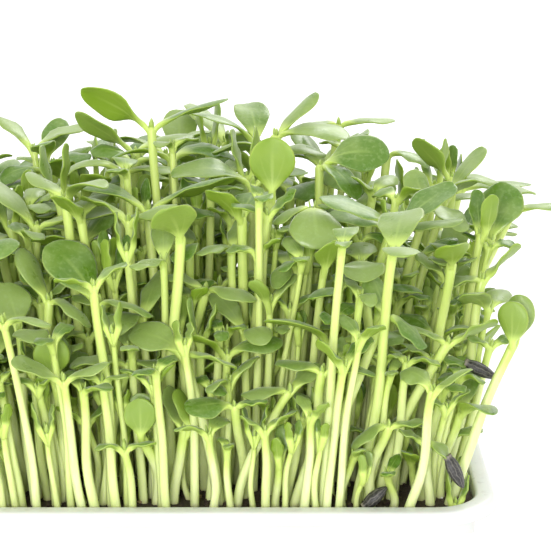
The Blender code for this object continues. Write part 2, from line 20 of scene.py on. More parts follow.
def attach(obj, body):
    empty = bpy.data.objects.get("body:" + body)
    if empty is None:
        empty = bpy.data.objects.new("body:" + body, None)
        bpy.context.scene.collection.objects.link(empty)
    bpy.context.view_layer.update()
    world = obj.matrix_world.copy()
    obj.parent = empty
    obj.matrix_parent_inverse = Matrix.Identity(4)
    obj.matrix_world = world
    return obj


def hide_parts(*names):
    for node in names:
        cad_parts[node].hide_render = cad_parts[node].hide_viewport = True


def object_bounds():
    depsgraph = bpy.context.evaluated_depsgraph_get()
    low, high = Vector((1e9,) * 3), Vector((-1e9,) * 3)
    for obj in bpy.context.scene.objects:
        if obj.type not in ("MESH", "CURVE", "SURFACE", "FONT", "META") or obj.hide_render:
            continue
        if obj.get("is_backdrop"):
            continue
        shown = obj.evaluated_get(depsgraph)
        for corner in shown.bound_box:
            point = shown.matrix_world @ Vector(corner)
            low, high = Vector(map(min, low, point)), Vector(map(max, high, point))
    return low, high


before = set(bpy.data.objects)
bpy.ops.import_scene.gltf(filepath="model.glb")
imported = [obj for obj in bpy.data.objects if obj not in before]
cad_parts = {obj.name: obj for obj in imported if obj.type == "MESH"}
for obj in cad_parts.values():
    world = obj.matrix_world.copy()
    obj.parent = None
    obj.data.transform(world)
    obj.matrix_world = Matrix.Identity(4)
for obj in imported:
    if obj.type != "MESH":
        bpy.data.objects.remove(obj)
CAD_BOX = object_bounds()

MM = 0.001
GAP = 0.4 * MM
SEED = 41

# ---------------------------------------------------------------- the part's own sizes and rule

TRAY_LENGTH = 184 * MM
TRAY_WIDTH = 134 * MM
TRAY_HEIGHT = 42 * MM
WALL = 1.2 * MM
RIM_OUT = 5 * MM
LIP_DOWN = 4 * MM
LIP_OUT = 0.6 * MM
FLARE = 4 * MM
CORNER_RADIUS = 15 * MM
FOOT_LENGTH, FOOT_WIDTH = (side - 2 * (LIP_OUT + RIM_OUT + FLARE) for side in (TRAY_LENGTH, TRAY_WIDTH))

SOIL_TOP = 39 * MM
COLUMNS, ROWS = 8, 6
COLUMN_SPAN = 146 * MM
ROW_SPAN = 96 * MM
ROOT_SPOTS = 4
ROOT_RING = 4.2 * MM
ROOT_DEPTH = 7 * MM
SPOT_TURN = 0.125
SPOT_TURN_VARIES = 0.07
EDGE_STEMS, INNER_STEMS = 3, 2

STEM_SIDES = 5
STEM_RADIUS = 1.75 * MM
STEM_TOP_RADIUS = 1.4 * MM
STEM_STATIONS = (0.0, 0.36, 0.7, 1.0)
STEM_END = 0.3 * MM
STRAIGHTNESS = 0.7

LEAF_STATIONS = (0.14, 0.34, 0.62, 0.87)
STALK_END = 0.05
STALK_OUT = 1.0 * MM
STALK_HALF_WIDTH = 1.2 * MM
WIDEST = 0.58
LEAF_THICKNESS = 1.3 * MM
NODE_HALF_WIDTH = 2.1 * MM
NODE_DEPTH = 2.3 * MM
OVAL = 0.8
ROLL_START = 0.25
FLAT = 0.001

HULL_LENGTH = 9.5 * MM
HULL_WIDTH = 5.6 * MM
HULL_THICKNESS = 3.4 * MM
HULL_STATIONS = (0.05, 0.25, 0.55, 0.85)
HULL_SIDES = 6
HULL_WIDEST = 0.8
HULL_FULLNESS = 0.6

HEIGHT = (76, 100)
LOW_HEIGHT = (38, 66)
LOW_SHARE = 0.3
LOWER_AT_ENDS, LOWER_AT_SIDES = 22, 8
LEAN_TO_ENDS, LEAN_TO_SIDES = 18, 17
LEANING_HEIGHT = 90
STRAY = 4
BOW = 3
OPEN_RISE, OPEN_ARCH, OPEN_LENGTH = (15, 55), (-10, -75), (17, 25)
CLOSED_RISE, CLOSED_ARCH, CLOSED_LENGTH = (72, 84), (-6, 8), (12, 16)
CLOSED_SHARE = 0.1
SLENDERNESS = (0.48, 0.6)
LEAF_TURN = (-25, 25)
LEAF_ROLL = (-25, 25)

CLEARANCE = 0.35 * MM
TRIES = 60
SHIFT = (-5, 5)
HEADING_CHANGE, RISE_CHANGE, DROOP_CHANGE = (-20, 20), (-10, 10), (-14, 14)
MIXED_ORDER = (5, 3, 11)

Leaf = namedtuple("Leaf", "heading rise droop length width roll", defaults=(0,))
Shoot = namedtuple("Shoot", "cell root top bow leaves hull slimmer", defaults=(0.0,))

# The shoots that stand out: clump, middle of the leaf pair in millimetres, and the two leaves
STANDING_OUT = (
    # the tallest ones, in the middle of the tray and behind
    ((3, 2), (-15, -5, 148), Leaf(180, 42, 15, 24, 13, 50), Leaf(2, 32, 8, 25, 12, -12)),
    ((3, 3), (-22, 20, 136), Leaf(178, 40, 24, 22, 12, 40), Leaf(20, 30, -10, 20, 11)),
    ((2, 2), (-23, 2, 133), Leaf(184, 40, -70, 27, 11), Leaf(-14, 25, -30, 18, 10)),
    ((3, 1), (-15, -25, 126), Leaf(10, 36, 0, 28, 14, -22), Leaf(174, 40, -12, 26, 12)),
    ((4, 2), (17, -10, 131), Leaf(186, 36, -26, 26, 13, -15), Leaf(24, 24, -14, 18, 12)),
    ((4, 1), (23, -35, 133), Leaf(-90, 86, 88, 17, 14), Leaf(90, 66, 52, 17, 12)),
    ((4, 3), (18, 25, 138), Leaf(190, 52, -4, 24, 12), Leaf(100, 50, 0, 22, 12)),
    ((4, 3), (24, 9, 143), Leaf(28, 52, 28, 19, 9), Leaf(-8, 24, -28, 24, 12, 15)),
    ((5, 4), (45, 30, 143), Leaf(0, 14, -10, 18, 9), Leaf(178, 12, -44, 11, 8)),
    ((6, 3), (61, 25, 134), Leaf(170, 32, -30, 15, 10), Leaf(-10, 14, -50, 15, 11)),
    ((5, 2), (38, -5, 136), Leaf(-4, 36, -26, 22, 14, 48), Leaf(-42, -6, -62, 18, 10)),
    # the right-hand side, leaning out
    ((7, 3), (82, 15, 128), Leaf(178, 52, 40, 17, 11, 42), Leaf(-10, 12, -30, 15, 11)),
    ((6, 2), (79, 0, 126), Leaf(24, 56, 38, 18, 10), Leaf(-60, 46, 4, 15, 11)),
    ((7, 4), (96, 22, 120), Leaf(8, 22, -20, 14, 10), Leaf(192, 18, -24, 15, 10)),
    ((7, 2), (92, -10, 113), Leaf(62, 70, 46, 19, 16), Leaf(200, 50, 6, 16, 10)),
    ((7, 3), (101, 6, 119), Leaf(0, 16, -6, 16, 9), Leaf(150, 20, -10, 13, 9)),
    ((6, 2), (71, -16, 125), Leaf(120, 62, 48, 12, 10), Leaf(-40, 2, -52, 16, 11)),
    ((5, 1), (59, -30, 120), Leaf(180, 42, -22, 20, 11, -15), Leaf(2, 18, 2, 21, 9)),
    ((6, 1), (50, -40, 113), Leaf(-90, 14, -42, 14, 13), Leaf(92, 24, -10, 15, 11)),
    ((5, 1), (34, -32, 127), Leaf(-90, 0, -74, 18, 16), Leaf(182, 4, -50, 13, 10)),
    ((7, 1), (88, -25, 104), Leaf(28, 46, 18, 15, 14, -38), Leaf(192, 6, -32, 13, 9)),
    ((7, 0), (96, -45, 89), Leaf(64, 82, 76, 14, 10), Leaf(244, 84, 88, 13, 10)),
    # the front row, from right to left
    ((6, 0), (76, -47, 90), Leaf(8, 32, 8, 15, 12, -30), Leaf(182, 36, 6, 12, 7)),
    ((5, 0), (57, -53, 100), Leaf(122, 60, 48, 13, 9), Leaf(-20, -24, -56, 15, 10)),
    ((5, 0), (48, -46, 94), Leaf(182, 36, -22, 19, 11, -15), Leaf(64, 40, 10, 14, 10)),
    ((5, 0), (41, -54, 84), Leaf(176, 16, -10, 14, 9), Leaf(-6, 6, -16, 15, 8)),
    ((6, 0), (58, -57, 67), Leaf(186, -8, -60, 13, 9), Leaf(-4, 8, 0, 10, 6)),
    ((4, 0), (30, -57, 76), Leaf(186, 10, -22, 14, 10), Leaf(42, 42, 16, 12, 8)),
    ((4, 0), (-7, -56, 88), Leaf(164, 36, -6, 17, 13, -26), Leaf(-16, 2, -30, 16, 12, -18)),
    ((4, 0), (10, -58, 72), Leaf(180, 12, -16, 14, 11, -20), Leaf(2, 22, 8, 9, 6)),
    ((3, 1), (3, -41, 105), Leaf(168, 32, -12, 14, 9), Leaf(-22, 6, -26, 16, 11)),
    ((3, 0), (-16, -58, 64), Leaf(-90, 84, 88, 12, 10), Leaf(90, 78, 84, 12, 9)),
    ((3, 0), (-3, -54, 65), Leaf(150, 62, 74, 13, 9), Leaf(-30, 104, 118, 12, 8)),
    ((2, 0), (-20, -52, 85), Leaf(182, 16, -26, 17, 10), Leaf(0, 4, -12, 10, 6)),
    ((2, 0), (-29, -46, 102), Leaf(152, 60, 28, 23, 17, -22), Leaf(-22, 16, -36, 18, 13, -20)),
    ((1, 0), (-44, -43, 102), Leaf(148, 62, 52, 17, 10), Leaf(-24, 2, -60, 16, 12, -18)),
    ((2, 0), (-41, -54, 80), Leaf(-90, 80, 86, 13, 11), Leaf(90, 74, 70, 12, 10)),
    ((1, 0), (-52, -48, 93), Leaf(124, 66, 44, 15, 13), Leaf(-62, 12, -20, 13, 11)),
    ((1, 1), (-50, -20, 120), Leaf(166, 52, 34, 21, 13), Leaf(4, 12, 2, 26, 13)),
)

# Stunted shoots whose first leaf still holds its hull
HULL_HOLDERS = (
    ((7, 0), (68, -56, 60), Leaf(-16, -20, -64, 8, 7), Leaf(170, 30, 10, 8, 5)),
    ((7, 1), (72, -40, 83), Leaf(-6, 0, -26, 10, 7), Leaf(176, 34, 10, 10, 6)),
)

# Hulls that rest on the soil: the place in millimetres, and the heading and rise in degrees
RESTING_HULLS = ((54, -57.3, 0, 42), (-21, -38, -20, 0), (62.5, 19, 70, 0), (-62.5, 38, 35, 0))


def level(degrees):
    """The level direction at a heading."""
    turn = math.radians(degrees)
    return Vector((math.cos(turn), math.sin(turn), 0))


def root_spot(cell, spot):
    """Where one of a clump's stems stands: on a ring round its middle, turned from clump to clump."""
    column, row = cell
    x = COLUMN_SPAN * (column / (COLUMNS - 1) - 0.5)
    y = ROW_SPAN * (row / (ROWS - 1) - 0.5)
    start = SPOT_TURN + SPOT_TURN_VARIES * math.sin(3 * column + 5 * row)
    turn = 2 * math.pi * (spot / ROOT_SPOTS + start)
    return Vector((x, y, SOIL_TOP)) + ROOT_RING * Vector((math.cos(turn), math.sin(turn), 0))


def root_of(spot, top):
    """The lower end of a stem: under its spot and back against its lean, so that it comes up at the spot."""
    back = STRAIGHTNESS * ROOT_DEPTH / (top.z - spot.z + ROOT_DEPTH)
    return spot - Vector(((top.x - spot.x) * back, (top.y - spot.y) * back, ROOT_DEPTH))


# ---------------------------------------------------------------- the forms


def lofted(rings, first_tip=None, last_tip=None):
    """(points, triangles) of a closed body through equal rings. An end is a cap, or a tip."""
    count = len(rings[0])
    points = [p for ring in rings for p in ring]
    triangles = []
    for i in range(len(rings) - 1):
        for j in range(count):
            a = i * count + j
            b = i * count + (j + 1) % count
            triangles += [(a, b + count, b), (a, a + count, b + count)]
    for start, tip in ((0, first_tip), (len(points) - count, last_tip)):
        if tip is None:
            triangles += [(start, start + k, start + k + 1) for k in range(1, count - 1)]
        else:
            points.append(tip)
            triangles += [(start + j, start + (j + 1) % count, len(points) - 1) for j in range(count)]
    return points, triangles


def stem_point(shoot, t):
    """A point on the stem's centre line, from 0 at the root to 1 at the leaves."""
    across = shoot.top - Vector((0, 0, STEM_END)) - shoot.root
    reach = STRAIGHTNESS * t + (1 - STRAIGHTNESS) * t * t
    place = shoot.root + Vector((across.x * reach, across.y * reach, across.z * t))
    return place + shoot.bow * math.sin(math.pi * t) ** 2


def stem_body(shoot, swell=0.0):
    """The stem as a tapered, bent rod. swell thickens it, for measuring clearance."""
    rings = []
    for t in STEM_STATIONS:
        radius = STEM_RADIUS + (STEM_TOP_RADIUS - STEM_RADIUS) * t + swell - shoot.slimmer
        middle = stem_point(shoot, t)
        rings.append(
            [
                middle + radius * Vector((math.cos(turn), math.sin(turn), 0))
                for turn in (2 * math.pi * k / STEM_SIDES for k in range(STEM_SIDES))
            ]
        )
    return lofted(rings)


def half_width(share, width):
    """A leaf's half width at a share of its length: a narrow stalk, an oval blade and a round tip."""
    if share >= WIDEST:
        past = (share - WIDEST) / (1 - WIDEST)
        return width / 2 * math.sqrt(max(0.0, 1 - past * past))
    along = max(0.0, (share - STALK_END) / (WIDEST - STALK_END))
    return STALK_HALF_WIDTH + (width / 2 - STALK_HALF_WIDTH) * math.sin(along * math.pi / 2) ** OVAL


def leaf_frame(leaf, share):
    """(offset from the stalk's root, direction, side, normal) at a share of a leaf, on an even arch."""
    rise, droop = math.radians(leaf.rise), math.radians(leaf.droop)
    length = leaf.length * MM
    turned = droop - rise
    pitch = rise + turned * share
    if abs(turned) < FLAT:
        out, up = length * share * math.cos(rise), length * share * math.sin(rise)
    else:
        out = length * (math.sin(pitch) - math.sin(rise)) / turned
        up = length * (math.cos(rise) - math.cos(pitch)) / turned
    ahead = level(leaf.heading)
    direction = ahead * math.cos(pitch) + Vector((0, 0, math.sin(pitch)))
    side = Vector((-ahead.y, ahead.x, 0))
    normal = direction.cross(side)
    roll = math.radians(leaf.roll) * min(1.0, share / ROLL_START)
    rolled = side * math.cos(roll) + normal * math.sin(roll)
    return ahead * out + Vector((0, 0, up)), direction, rolled, direction.cross(rolled)


def blade_ring(middle, side, normal, half, depth, swell):
    """A blade's section: flat on top and deepest in the middle. Swelled, it stands out on top as well."""
    across = side * (half + 2 * swell)
    ring = [middle - across, middle - normal * (depth + 2 * swell), middle + across]
    return ring + [middle + normal * 2 * swell] if swell else ring


def leaf_rings(leaf, root, swell):
    """(rings, tip) of a seed leaf, as a thin arched lens."""
    start = root + level(leaf.heading) * STALK_OUT
    rings = []
    for share in LEAF_STATIONS:
        offset, _, side, normal = leaf_frame(leaf, share)
        half = half_width(share, leaf.width * MM)
        rings.append(blade_ring(start + offset, side, normal, half, LEAF_THICKNESS, swell))
    offset, direction, _, _ = leaf_frame(leaf, 1.0)
    return rings, start + offset + direction * 2 * swell


def pair_body(shoot, swell=0.0):
    """Both seed leaves as one body, from tip to tip over the top of the stem."""
    near, far = (leaf_rings(leaf, shoot.top, swell) for leaf in shoot.leaves)
    one, other = (math.radians(leaf.heading) for leaf in shoot.leaves)
    side = Vector((math.sin(one) - math.sin(other), math.cos(other) - math.cos(one), 0)).normalized()
    node = blade_ring(shoot.top, side, Vector((0, 0, 1)), NODE_HALF_WIDTH, NODE_DEPTH, swell)
    back = [[ring[2], ring[1], ring[0], *ring[3:]] for ring in reversed(near[0])]
    return lofted(back + [node] + far[0], near[1], far[1])


def hull_body(foot, direction, side):
    """A seed hull from its blunt foot along a direction: flattened, widest near the middle, and pointed."""
    normal = direction.cross(side)
    rings = []
    for share in HULL_STATIONS:
        swell = math.sin(math.pi * share**HULL_WIDEST) ** HULL_FULLNESS
        ring = []
        for k in range(HULL_SIDES):
            turn = 2 * math.pi * k / HULL_SIDES
            across = side * (HULL_WIDTH / 2 * math.cos(turn)) + normal * (HULL_THICKNESS / 2 * math.sin(turn))
            ring.append(foot + direction * (HULL_LENGTH * share) + across * swell)
        rings.append(ring)
    return lofted(rings, last_tip=foot + direction * HULL_LENGTH)


def held_line(shoot):
    """(foot, direction, side) of the hull at the tip of a shoot's first leaf."""
    leaf = shoot.leaves[0]
    offset, direction, side, _ = leaf_frame(leaf, 1.0)
    return shoot.top + level(leaf.heading) * STALK_OUT + offset + direction * GAP, direction, side


def resting_line(x, y, heading, rise):
    """(foot, direction, side) of a hull that lies on the soil, or stands with its foot on it."""
    ahead, tilt = level(heading), math.radians(rise)
    direction = ahead * math.cos(tilt) + Vector((0, 0, math.sin(tilt)))
    middle = Vector((x * MM, y * MM, SOIL_TOP + GAP))
    middle.z += HULL_LENGTH / 2 * math.sin(tilt) + HULL_THICKNESS / 2 * math.cos(tilt)
    return middle - direction * HULL_LENGTH / 2, direction, Vector((-ahead.y, ahead.x, 0))


def shoot_bodies(shoot, swell=0.0):
    """The closed bodies that fuse into one shoot: the stem and its pair of leaves."""
    return [stem_body(shoot, swell), pair_body(shoot, swell)]


# ---------------------------------------------------------------- where the shoots stand


def tree_of(bodies):
    """A search tree over the surface of some bodies. It is in millimetres, which suits its own tolerance."""
    points, triangles = [], []
    for body_points, body_triangles in bodies:
        start = len(points)
        points += [p / MM for p in body_points]
        triangles += [tuple(start + k for k in t) for t in body_triangles]
    return BVHTree.FromPolygons(points, triangles)


def box_of(bodies):
    """The lowest and the highest corner of some bodies, in millimetres."""
    points = np.array([p for body in bodies for p in body[0]]) / MM
    return points.min(axis=0), points.max(axis=0)


class Stand:
    """The shoots placed so far. A new one is kept only where it is clear of all of them."""

    def __init__(self, draw):
        self.draw = draw
        self.shoots = []
        self.trees, self.lows, self.highs = [], np.empty((0, 3)), np.empty((0, 3))
        for place in RESTING_HULLS:
            self.add([hull_body(*resting_line(*place))])
        self.free = {(c, r): list(range(ROOT_SPOTS)) for c in range(COLUMNS) for r in range(ROWS)}

    def add(self, bodies):
        """Keeps some bodies as an obstacle."""
        low, high = box_of(bodies)
        self.trees.append(tree_of(bodies))
        self.lows, self.highs = np.vstack([self.lows, low]), np.vstack([self.highs, high])

    def is_clear(self, bodies):
        """Whether the bodies cross nothing that stands."""
        low, high = box_of(bodies)
        near = np.nonzero((self.lows < high).all(axis=1) & (self.highs > low).all(axis=1))[0]
        tree = tree_of(bodies)
        return not any(tree.overlap(self.trees[k]) for k in near)

    def keep(self, shoot, bodies):
        """Adds a shoot that has its place."""
        self.shoots.append(shoot)
        self.add(bodies)

    def place(self, cell, spot, versions):
        """Keeps the first of these versions that is clear, and says whether there was one."""
        for shoot in versions:
            held = [hull_body(*held_line(shoot))] if shoot.hull else []
            if self.is_clear(shoot_bodies(shoot, CLEARANCE) + held):
                self.keep(shoot, shoot_bodies(shoot) + held)
                self.free[cell].remove(spot)
                return True
        return False


def changed(leaf, draw, amount):
    """The leaf a little differently turned."""
    return leaf._replace(
        heading=leaf.heading + draw.uniform(*HEADING_CHANGE) * amount,
        rise=leaf.rise + draw.uniform(*RISE_CHANGE) * amount,
        droop=leaf.droop + draw.uniform(*DROOP_CHANGE) * amount,
    )


def standing_out(stand, entry, hull):
    """Places one of the listed shoots, bent a little where it would cross another."""
    cell, (x, y, z), *leaves = entry
    wanted = Vector((x, y, z)) * MM
    spots = sorted(stand.free[cell], key=lambda s: (root_spot(cell, s) - wanted).xy.length)

    def versions(spot):
        for k in range(TRIES):
            amount = k / TRIES
            shift = Vector([stand.draw.uniform(*SHIFT) * MM * amount for _ in range(3)])
            bow = Vector((stand.draw.uniform(-BOW, BOW), stand.draw.uniform(-BOW, BOW), 0)) * MM
            turned = [changed(leaf, stand.draw, amount) for leaf in leaves]
            top = wanted + shift
            yield Shoot(cell, root_of(root_spot(cell, spot), top), top, bow, turned, hull)

    return any(stand.place(cell, spot, versions(spot)) for spot in spots)


def drawn_pair(draw, closed_share=CLOSED_SHARE):
    """A drawn pair of leaves: mostly open and arched, sometimes still nearly closed."""
    heading = draw.uniform(0, 360)
    rises, arches, lengths, looseness = OPEN_RISE, OPEN_ARCH, OPEN_LENGTH, 1
    if draw.random() < closed_share:
        rises, arches, lengths, looseness = CLOSED_RISE, CLOSED_ARCH, CLOSED_LENGTH, 0
    pair = []
    for side in (0, 180):
        rise = draw.uniform(*rises)
        droop = rise + draw.uniform(*arches)
        length = draw.uniform(*lengths)
        width = length * draw.uniform(*SLENDERNESS)
        turn = heading + side + draw.uniform(*LEAF_TURN) * looseness
        pair.append(Leaf(turn, rise, droop, length, width, draw.uniform(*LEAF_ROLL) * looseness))
    return pair


def drawn_stem(draw, cell, foot, height, stray, bow, slimmer=0.0):
    """A shoot without its leaves. The further out it stands, the lower it is and the more it leans out."""
    outward = Vector((foot.x / (TRAY_LENGTH / 2), foot.y / (TRAY_WIDTH / 2), 0))
    height -= LOWER_AT_ENDS * outward.x**2 + LOWER_AT_SIDES * outward.y**2
    lean = Vector((outward.x * LEAN_TO_ENDS, outward.y * LEAN_TO_SIDES, 0)) * (height / LEANING_HEIGHT)
    astray = Vector((draw.gauss(0, stray), draw.gauss(0, stray), 0))
    top = foot + (lean + astray + Vector((0, 0, height))) * MM
    bend = Vector((draw.uniform(-bow, bow), draw.uniform(-bow, bow), 0)) * MM
    return Shoot(cell, root_of(foot, top), top, bend, (), False, slimmer)


def drawn_shoot(draw, cell, spot, low):
    """A drawn shoot on one of a clump's root spots."""
    height = draw.uniform(*(LOW_HEIGHT if low else HEIGHT))
    stem = drawn_stem(draw, cell, root_spot(cell, spot), height, STRAY, BOW)
    return stem._replace(leaves=drawn_pair(draw))


def grown_stand():
    """All the shoots, the ones that stand out first and then drawn ones until every clump has its share."""
    stand = Stand(random.Random(SEED))
    for entry in STANDING_OUT:
        standing_out(stand, entry, False)
    for entry in HULL_HOLDERS:
        standing_out(stand, entry, True)
    column_step, row_step, count = MIXED_ORDER
    for cell in sorted(stand.free, key=lambda c: (c[0] * column_step + c[1] * row_step) % count):
        edge = cell[0] in (0, COLUMNS - 1) or cell[1] in (0, ROWS - 1)
        stems = EDGE_STEMS if edge else INNER_STEMS
        for spot in list(stand.free[cell]):
            if ROOT_SPOTS - len(stand.free[cell]) >= stems:
                break
            low = edge and stand.draw.random() < LOW_SHARE
            versions = (drawn_shoot(stand.draw, cell, spot, low) for _ in range(TRIES))
            stand.place(cell, spot, versions)
    return stand


# ---------------------------------------------------------------- the camera's place, and the shoots between

VIEW_TARGET = Vector((24, 0, 101)) * MM
VIEW_DISTANCE = 620 * MM
VIEW_ELEVATION = math.radians(14)
VIEW_BACK = Vector((0, -math.cos(VIEW_ELEVATION), math.sin(VIEW_ELEVATION)))
SENSOR = 36  # millimetres
LENS = 125.6

FILL_SEED = 7
FILL_LENGTH = 159 * MM
FILL_WIDTH = 114 * MM
FILL_JITTER = 0.6 * MM
# The rounds in which they grow: the step between feet, the least distance between two roots, how much less
# thick the stems are than the part's own, and the share of closed pairs
FILL_ROUNDS = (
    (3.5 * MM, 3.2 * MM, 0.22 * MM, 0.03),
    (2.9 * MM, 2.6 * MM, 0.42 * MM, 0.08),
    (2.6 * MM, 2.3 * MM, 0.6 * MM, 0.6),
)
STEM_TRIES, PAIR_TRIES = 16, 8
SMALLER = 0.075  # how much less large a pair is at each further try
FILL_CLEARANCE = 0.02 * MM
STEM_PRESSED = 0.3 * MM  # how far stems that grow against each other are pressed together
FILL_HEIGHT, FILL_LOW_HEIGHT, FILL_LOW_SHARE = (50, 104), (24, 50), 0.05
# How far a stem strays and is bowed at its first try, in millimetres, and how much more at each further try
FILL_STRAY = (0.7, 0.06)
FILL_BOW = (1.0, 0.12)
SMALLEST_LEAF = 0.6  # how long the lowest shoots' leaves are beside the highest ones'
TALL = 100


def hides(tree, eye, guarded):
    """Whether a body stands before one of the guarded points, as the camera sees them."""
    return any(tree.ray_cast(point, eye - point)[0] is not None for point in guarded)


def guarded_points(shoots):
    """Points on the front hulls and on these shoots' leaves, which new shoots leave in view."""
    hulls = [resting_line(*RESTING_HULLS[0])[:2]]
    for shoot in shoots:
        if shoot.hull:
            offset, direction, _, _ = leaf_frame(shoot.leaves[0], 1.0)
            hulls.append((shoot.top + offset, direction))
    points = [(foot + ahead * HULL_LENGTH * share) / MM for foot, ahead in hulls for share in (0.2, 0.5, 0.8)]
    for shoot in shoots:
        for leaf in shoot.leaves:
            for share in (0.3, 0.55, 0.8):
                offset, _, side, _ = leaf_frame(leaf, share)
                half = half_width(share, leaf.width * MM) / 2
                points += [(shoot.top + offset + side * across) / MM for across in (-half, half)]
    return points


def fill_feet(draw, step):
    """Where the shoots between may stand, in an order that jumps about."""
    feet = []
    columns, rows = (int(span / step) for span in (FILL_LENGTH, FILL_WIDTH))
    for column in range(columns + 1):
        for row in range(rows + 1):
            x = FILL_LENGTH * ((column + 0.5 * (row % 2)) / (columns + 0.5) - 0.5)
            y = FILL_WIDTH * (row / rows - 0.5) + draw.gauss(0, 1) * FILL_JITTER
            y = max(-FILL_WIDTH / 2, min(FILL_WIDTH / 2, y))
            feet.append(Vector((x + draw.gauss(0, 1) * FILL_JITTER, y, SOIL_TOP)))
    draw.shuffle(feet)
    return feet


def nearest(place, span, count):
    """The number of the column or row of clumps that a place is nearest to."""
    return max(0, min(count - 1, round((place / span + 0.5) * (count - 1))))


def bare_shoot(draw, foot, slimmer, stray, bow):
    """A drawn stem between the part's own, without its leaves."""
    cell = (nearest(foot.x, COLUMN_SPAN, COLUMNS), nearest(foot.y, ROW_SPAN, ROWS))
    height = draw.uniform(*(FILL_LOW_HEIGHT if draw.random() < FILL_LOW_SHARE else FILL_HEIGHT))
    return drawn_stem(draw, cell, foot, height, stray, bow, slimmer)


def grown_between(stand, draw, foot, slimmer, closed_share, eye, guarded):
    """Grows one shoot at a foot, if there is room for its stem and then for its leaves, and says whether."""
    for more in range(STEM_TRIES):
        stray, bow = (least + further * more for least, further in (FILL_STRAY, FILL_BOW))
        bare = bare_shoot(draw, foot, slimmer, stray, bow)
        stem = stem_body(bare)
        if not stand.is_clear([stem_body(bare, -STEM_PRESSED)]) or hides(tree_of([stem]), eye, guarded):
            continue
        height = (bare.top.z - SOIL_TOP) / MM
        for k in range(PAIR_TRIES):
            size = (SMALLEST_LEAF + (1 - SMALLEST_LEAF) * height / TALL) * (1 - SMALLER * k)
            drawn = drawn_pair(draw, closed_share)
            pair = [leaf._replace(length=leaf.length * size, width=leaf.width * size) for leaf in drawn]
            shoot = bare._replace(leaves=pair)
            body = pair_body(shoot, FILL_CLEARANCE)
            if stand.is_clear([body]) and not hides(tree_of([body]), eye, guarded):
                stand.keep(shoot, [stem, pair_body(shoot)])
                return True
    return False


def filled_stand():
    """The part's own shoots, and as many between them as there is room for."""
    stand = grown_stand()
    guarded = guarded_points(stand.shoots[: len(STANDING_OUT) + len(HULL_HOLDERS)])
    eye = (VIEW_TARGET + VIEW_BACK * VIEW_DISTANCE) / MM
    draw = random.Random(FILL_SEED)
    taken = [root_of_soil(shoot) for shoot in stand.shoots]
    for step, apart, slimmer, closed_share in FILL_ROUNDS:
        for foot in fill_feet(draw, step):
            if all((foot - other).length > apart for other in taken):
                if grown_between(stand, draw, foot, slimmer, closed_share, eye, guarded):
                    taken.append(foot)
    return [shoot for shoot in stand.shoots if not shoot.slimmer or stands_inside(shoot)]


def root_of_soil(shoot):
    """Where a shoot comes out of the soil."""
    share = (SOIL_TOP - shoot.root.z) / (shoot.top.z - shoot.root.z)
    return stem_point(shoot, share)


def soil_slope(z):
    """How far the soil's edge stands out from the tray's foot line at a height."""
    return FLARE / TRAY_HEIGHT * z - WALL - 0.5 * GAP


def stands_inside(shoot):
    """Whether a shoot's root keeps clear of the tray's wall, also in the rounded corners."""
    out = soil_slope(shoot.root.z)
    radius = CORNER_RADIUS - FLARE + out
    past_foot = (abs(shoot.root.x) - FOOT_LENGTH / 2, abs(shoot.root.y) - FOOT_WIDTH / 2)
    x, y = (max(0.0, past - out + radius) for past in past_foot)
    return math.hypot(x, y) < radius - STEM_RADIUS + shoot.slimmer


# ---------------------------------------------------------------- finer forms

ROUND_SIDES = 8
THIN_SIDES = 6
THIN = 0.4 * MM  # how much less thick a stem is whose shoot is made with fewer points
STEM_STEPS = 14
STEM_SHORT = 1.5 * MM  # how far below its leaf pair a fine stem ends, between the stalks
STEM_FLARE = 0.1  # how much wider a stem gets just under its leaves
STEM_OVAL = 0.06
STEM_WOBBLE = 0.35 * MM
DOME = ((0.45, 0.84), (0.85, 0.45))  # rise and radius of the stem's round top, as shares of its radius
DOME_TIP = 0.15

LEAF_SHARES = (0.0, 0.05, 0.11, 0.18, 0.25, 0.33, 0.41, 0.49, 0.58, 0.67, 0.76, 0.84, 0.91, 0.96, 0.988)
THIN_SHARES = LEAF_SHARES[:1] + LEAF_SHARES[1::2]
SOFT_ROLL = 0.45  # the share of its length over which a fine leaf turns about its stalk
TAPER = 0.45  # how much more slender a fine leaf is towards its stalk
TOP_POINTS, THIN_TOP_POINTS = 8, 6
STALK_ROOT = 5.5 * MM  # how far down inside the stem a leaf's stalk starts
STALK_GREEN = 1.7  # how far down the stem has some of the stalks' green, as a share of that
STALK_TURNS = (0.0, 0.28, 0.54, 0.78)  # places along its way out of the stem
STALK_IN = 1  # the leaf share, by its place in LEAF_SHARES, at which the stalk is out of the stem
STALK_THICKNESS = 1.9 * MM
STALK_SHARES, STALK_FADES = (0, 0.12, 0.34, 1), (1, 0.8, 0, 0)  # where, and how much, it is still a stalk
BLADE_THICKNESS = 1.15 * MM
TIP_THICKNESS = 0.6 * MM
GROOVE = 0.24 * MM
RIDGE = 0.35 * MM
RIB_WIDTH = 0.15  # of the half width
CUP = (-0.3, 0.1)  # how far a blade's edges stand down or up, as a share of its half width
WAVE = 0.45 * MM

FORM = ("form_along", "form_across", "form_under", "form_tone")


